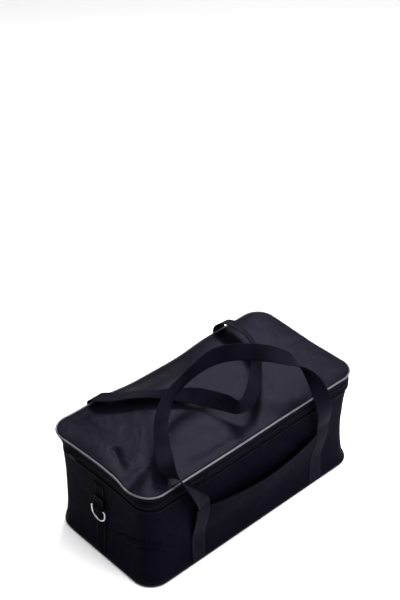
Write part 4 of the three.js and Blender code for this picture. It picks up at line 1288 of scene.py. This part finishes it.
# Seam stitching.
# Lock stitch in black polyester thread: along the edges of the sewn webbing, beside the piping
# and the zip, along the pocket's hem and in a crossed box on each ring tab.
STITCH_PITCH = 3.4
STITCH_UNEVEN = 0.06
THREAD_OFF = 0.12
EDGE_INSET = 3.0
SEAM_INSET = 2.5
LID_STITCH_INSET = 4.5
BOX_INSET = 3.2
BOX_LOW = 13.0
SEWN_STEPS = 40
END_SEWN_STEPS = 50
BORDER_STEPS = 60

# Spun polyester thread: black, with a soft gloss and a fine twist. The real thread is about
# 0.4 mm thick and is drawn at 0.7 mm, so that single stitches show.
thread = streaked_gloss("black_polyester_thread", 900, 1, 0.35, 0.6, {
    "Base Color": srgb("#0b0a10"), "IOR": 1.5, "Specular IOR Level": 0.12,
})
stitch = small_rod("stitch", [(-1.2, 0.1, 0.08), (-0.8, 0.34, 0.28), (0.8, 0.34, 0.28), (1.2, 0.1, 0.08)])


def facing(points, outward):
    """A stitch row that faces one way."""
    return points, np.broadcast_to(np.asarray(outward, float), points.shape)


def edge_rows(station, turn, side, heights):
    """Two stitch rows, one near each edge of a sewn strap, and two across its top."""
    over = WEBBING / 2 + THREAD_OFF
    inset = WEBBING_WIDTH / 2 - EDGE_INSET
    pair = sewn_rows(station, turn, side, heights, np.array([[-inset, over], [inset, over]]))
    line = np.stack([np.linspace(-inset, inset, FACE_STEPS), np.full(FACE_STEPS, over)], 1)
    across = sewn_rows(station, turn, side, np.array([heights[-1] - 7, heights[-1]]), line)
    return [facing(row, (0, side, 0)) for row in (pair[:, 0], pair[:, 1], *across)]


front_sewn = np.linspace(STRAP_BOTTOM + EDGE_INSET, FRONT_BEND - 3.5, SEWN_STEPS)
rear_sewn = np.linspace(STRAP_BOTTOM + EDGE_INSET, SPLIT_HEIGHT - 50, SEWN_STEPS)
end_sewn = np.linspace(STRAP_BOTTOM + EDGE_INSET, END_STRIP_TOP - EDGE_INSET, END_SEWN_STEPS)
bag_rows = edge_rows(FRONT_MIDDLE + FRONT_STRAP_LEFT, -1, -1, front_sewn)
bag_rows += edge_rows(FRONT_MIDDLE + FRONT_STRAP_RIGHT, 1, -1, front_sewn)
for x, turn in ((-REAR_STRAP, -1), (REAR_STRAP, 1)):
    bag_rows += edge_rows(REAR_MIDDLE - x, turn, 1, rear_sewn)
for station in (LEFT_MIDDLE, RIGHT_MIDDLE):
    for across in (-TAB_WIDTH / 2 + SEAM_INSET, TAB_WIDTH / 2 - SEAM_INSET):
        row = on_wall(station + across, end_sewn, SEAM_GAP + END_STRIP + THREAD_OFF)
        bag_rows.append((row, outward_at(np.full(END_SEWN_STEPS, station))))
hem_off = FABRIC + SEAM_GAP + HEM + THREAD_OFF
hem_row = pocket_place(np.linspace(0.01, 0.99, POCKET_STEPS), 1 - 0.75 * hem_share, hem_off)
bag_rows.append(facing(hem_row, (0, -1, 0.2)))
bag_rows.append((on_wall(zip_run, WALL_TOP - SEAM_INSET, THREAD_OFF), outward_at(zip_run)))
bag_rows.append((on_wall(around, WALL_BOTTOM + 4, THREAD_OFF), outward_at(around)))
# A box with a cross holds each ring tab: its corners follow each other in one line.
box_y = TAB_WIDTH / 2 - BOX_INSET
low, high = RING_BAR_HEIGHT + BOX_LOW, RING_BAR_HEIGHT + TAB_RISE - SEAM_INSET
box = [(-1, low), (1, low), (1, high), (-1, high), (-1, low), (1, high), (1, low), (-1, high)]
for side in (-1, 1):
    corners = np.array([(side * (END_TAB_BACK + 2 * TAB + THREAD_OFF), box_y * y, z) for y, z in box])
    bag_rows += [facing(corners[k:k + 2], (side, 0, 0)) for k in range(len(box) - 1)]
bag_stitches = repeat_piece("bag_stitching", bag_rows, stitch, STITCH_PITCH, thread, 3, STITCH_UNEVEN)
seat(bag_stitches, "bag", "webbing_black")

run = np.linspace(-1, 1, BORDER_STEPS)
end = np.ones(BORDER_STEPS)
lid_border = np.concatenate([(run, -end), (end, run), (-run, end), (-end, -run)], 1)
lid_border = lid_border.T * (1 - LID_STITCH_INSET / np.array([HALF_LENGTH, HALF_DEPTH]))
lid_row = lid_surface(lid_border[:, 0], lid_border[:, 1], LID_INSET)
lid_row[:, 2] += THREAD_OFF
lid_rows = [
    facing(lid_row, (0, 0, 1)),
    (on_band(around, BAND_SEAM_HEIGHT, THREAD_OFF), outward_at(around)),
    (on_band(zip_run, BAND_BOTTOM + SEAM_INSET, THREAD_OFF), outward_at(zip_run)),
]
lid_stitches = repeat_piece("lid_stitching", lid_rows, stitch, STITCH_PITCH, thread, 4, STITCH_UNEVEN)
seat(lid_stitches, "lid", "webbing_black")
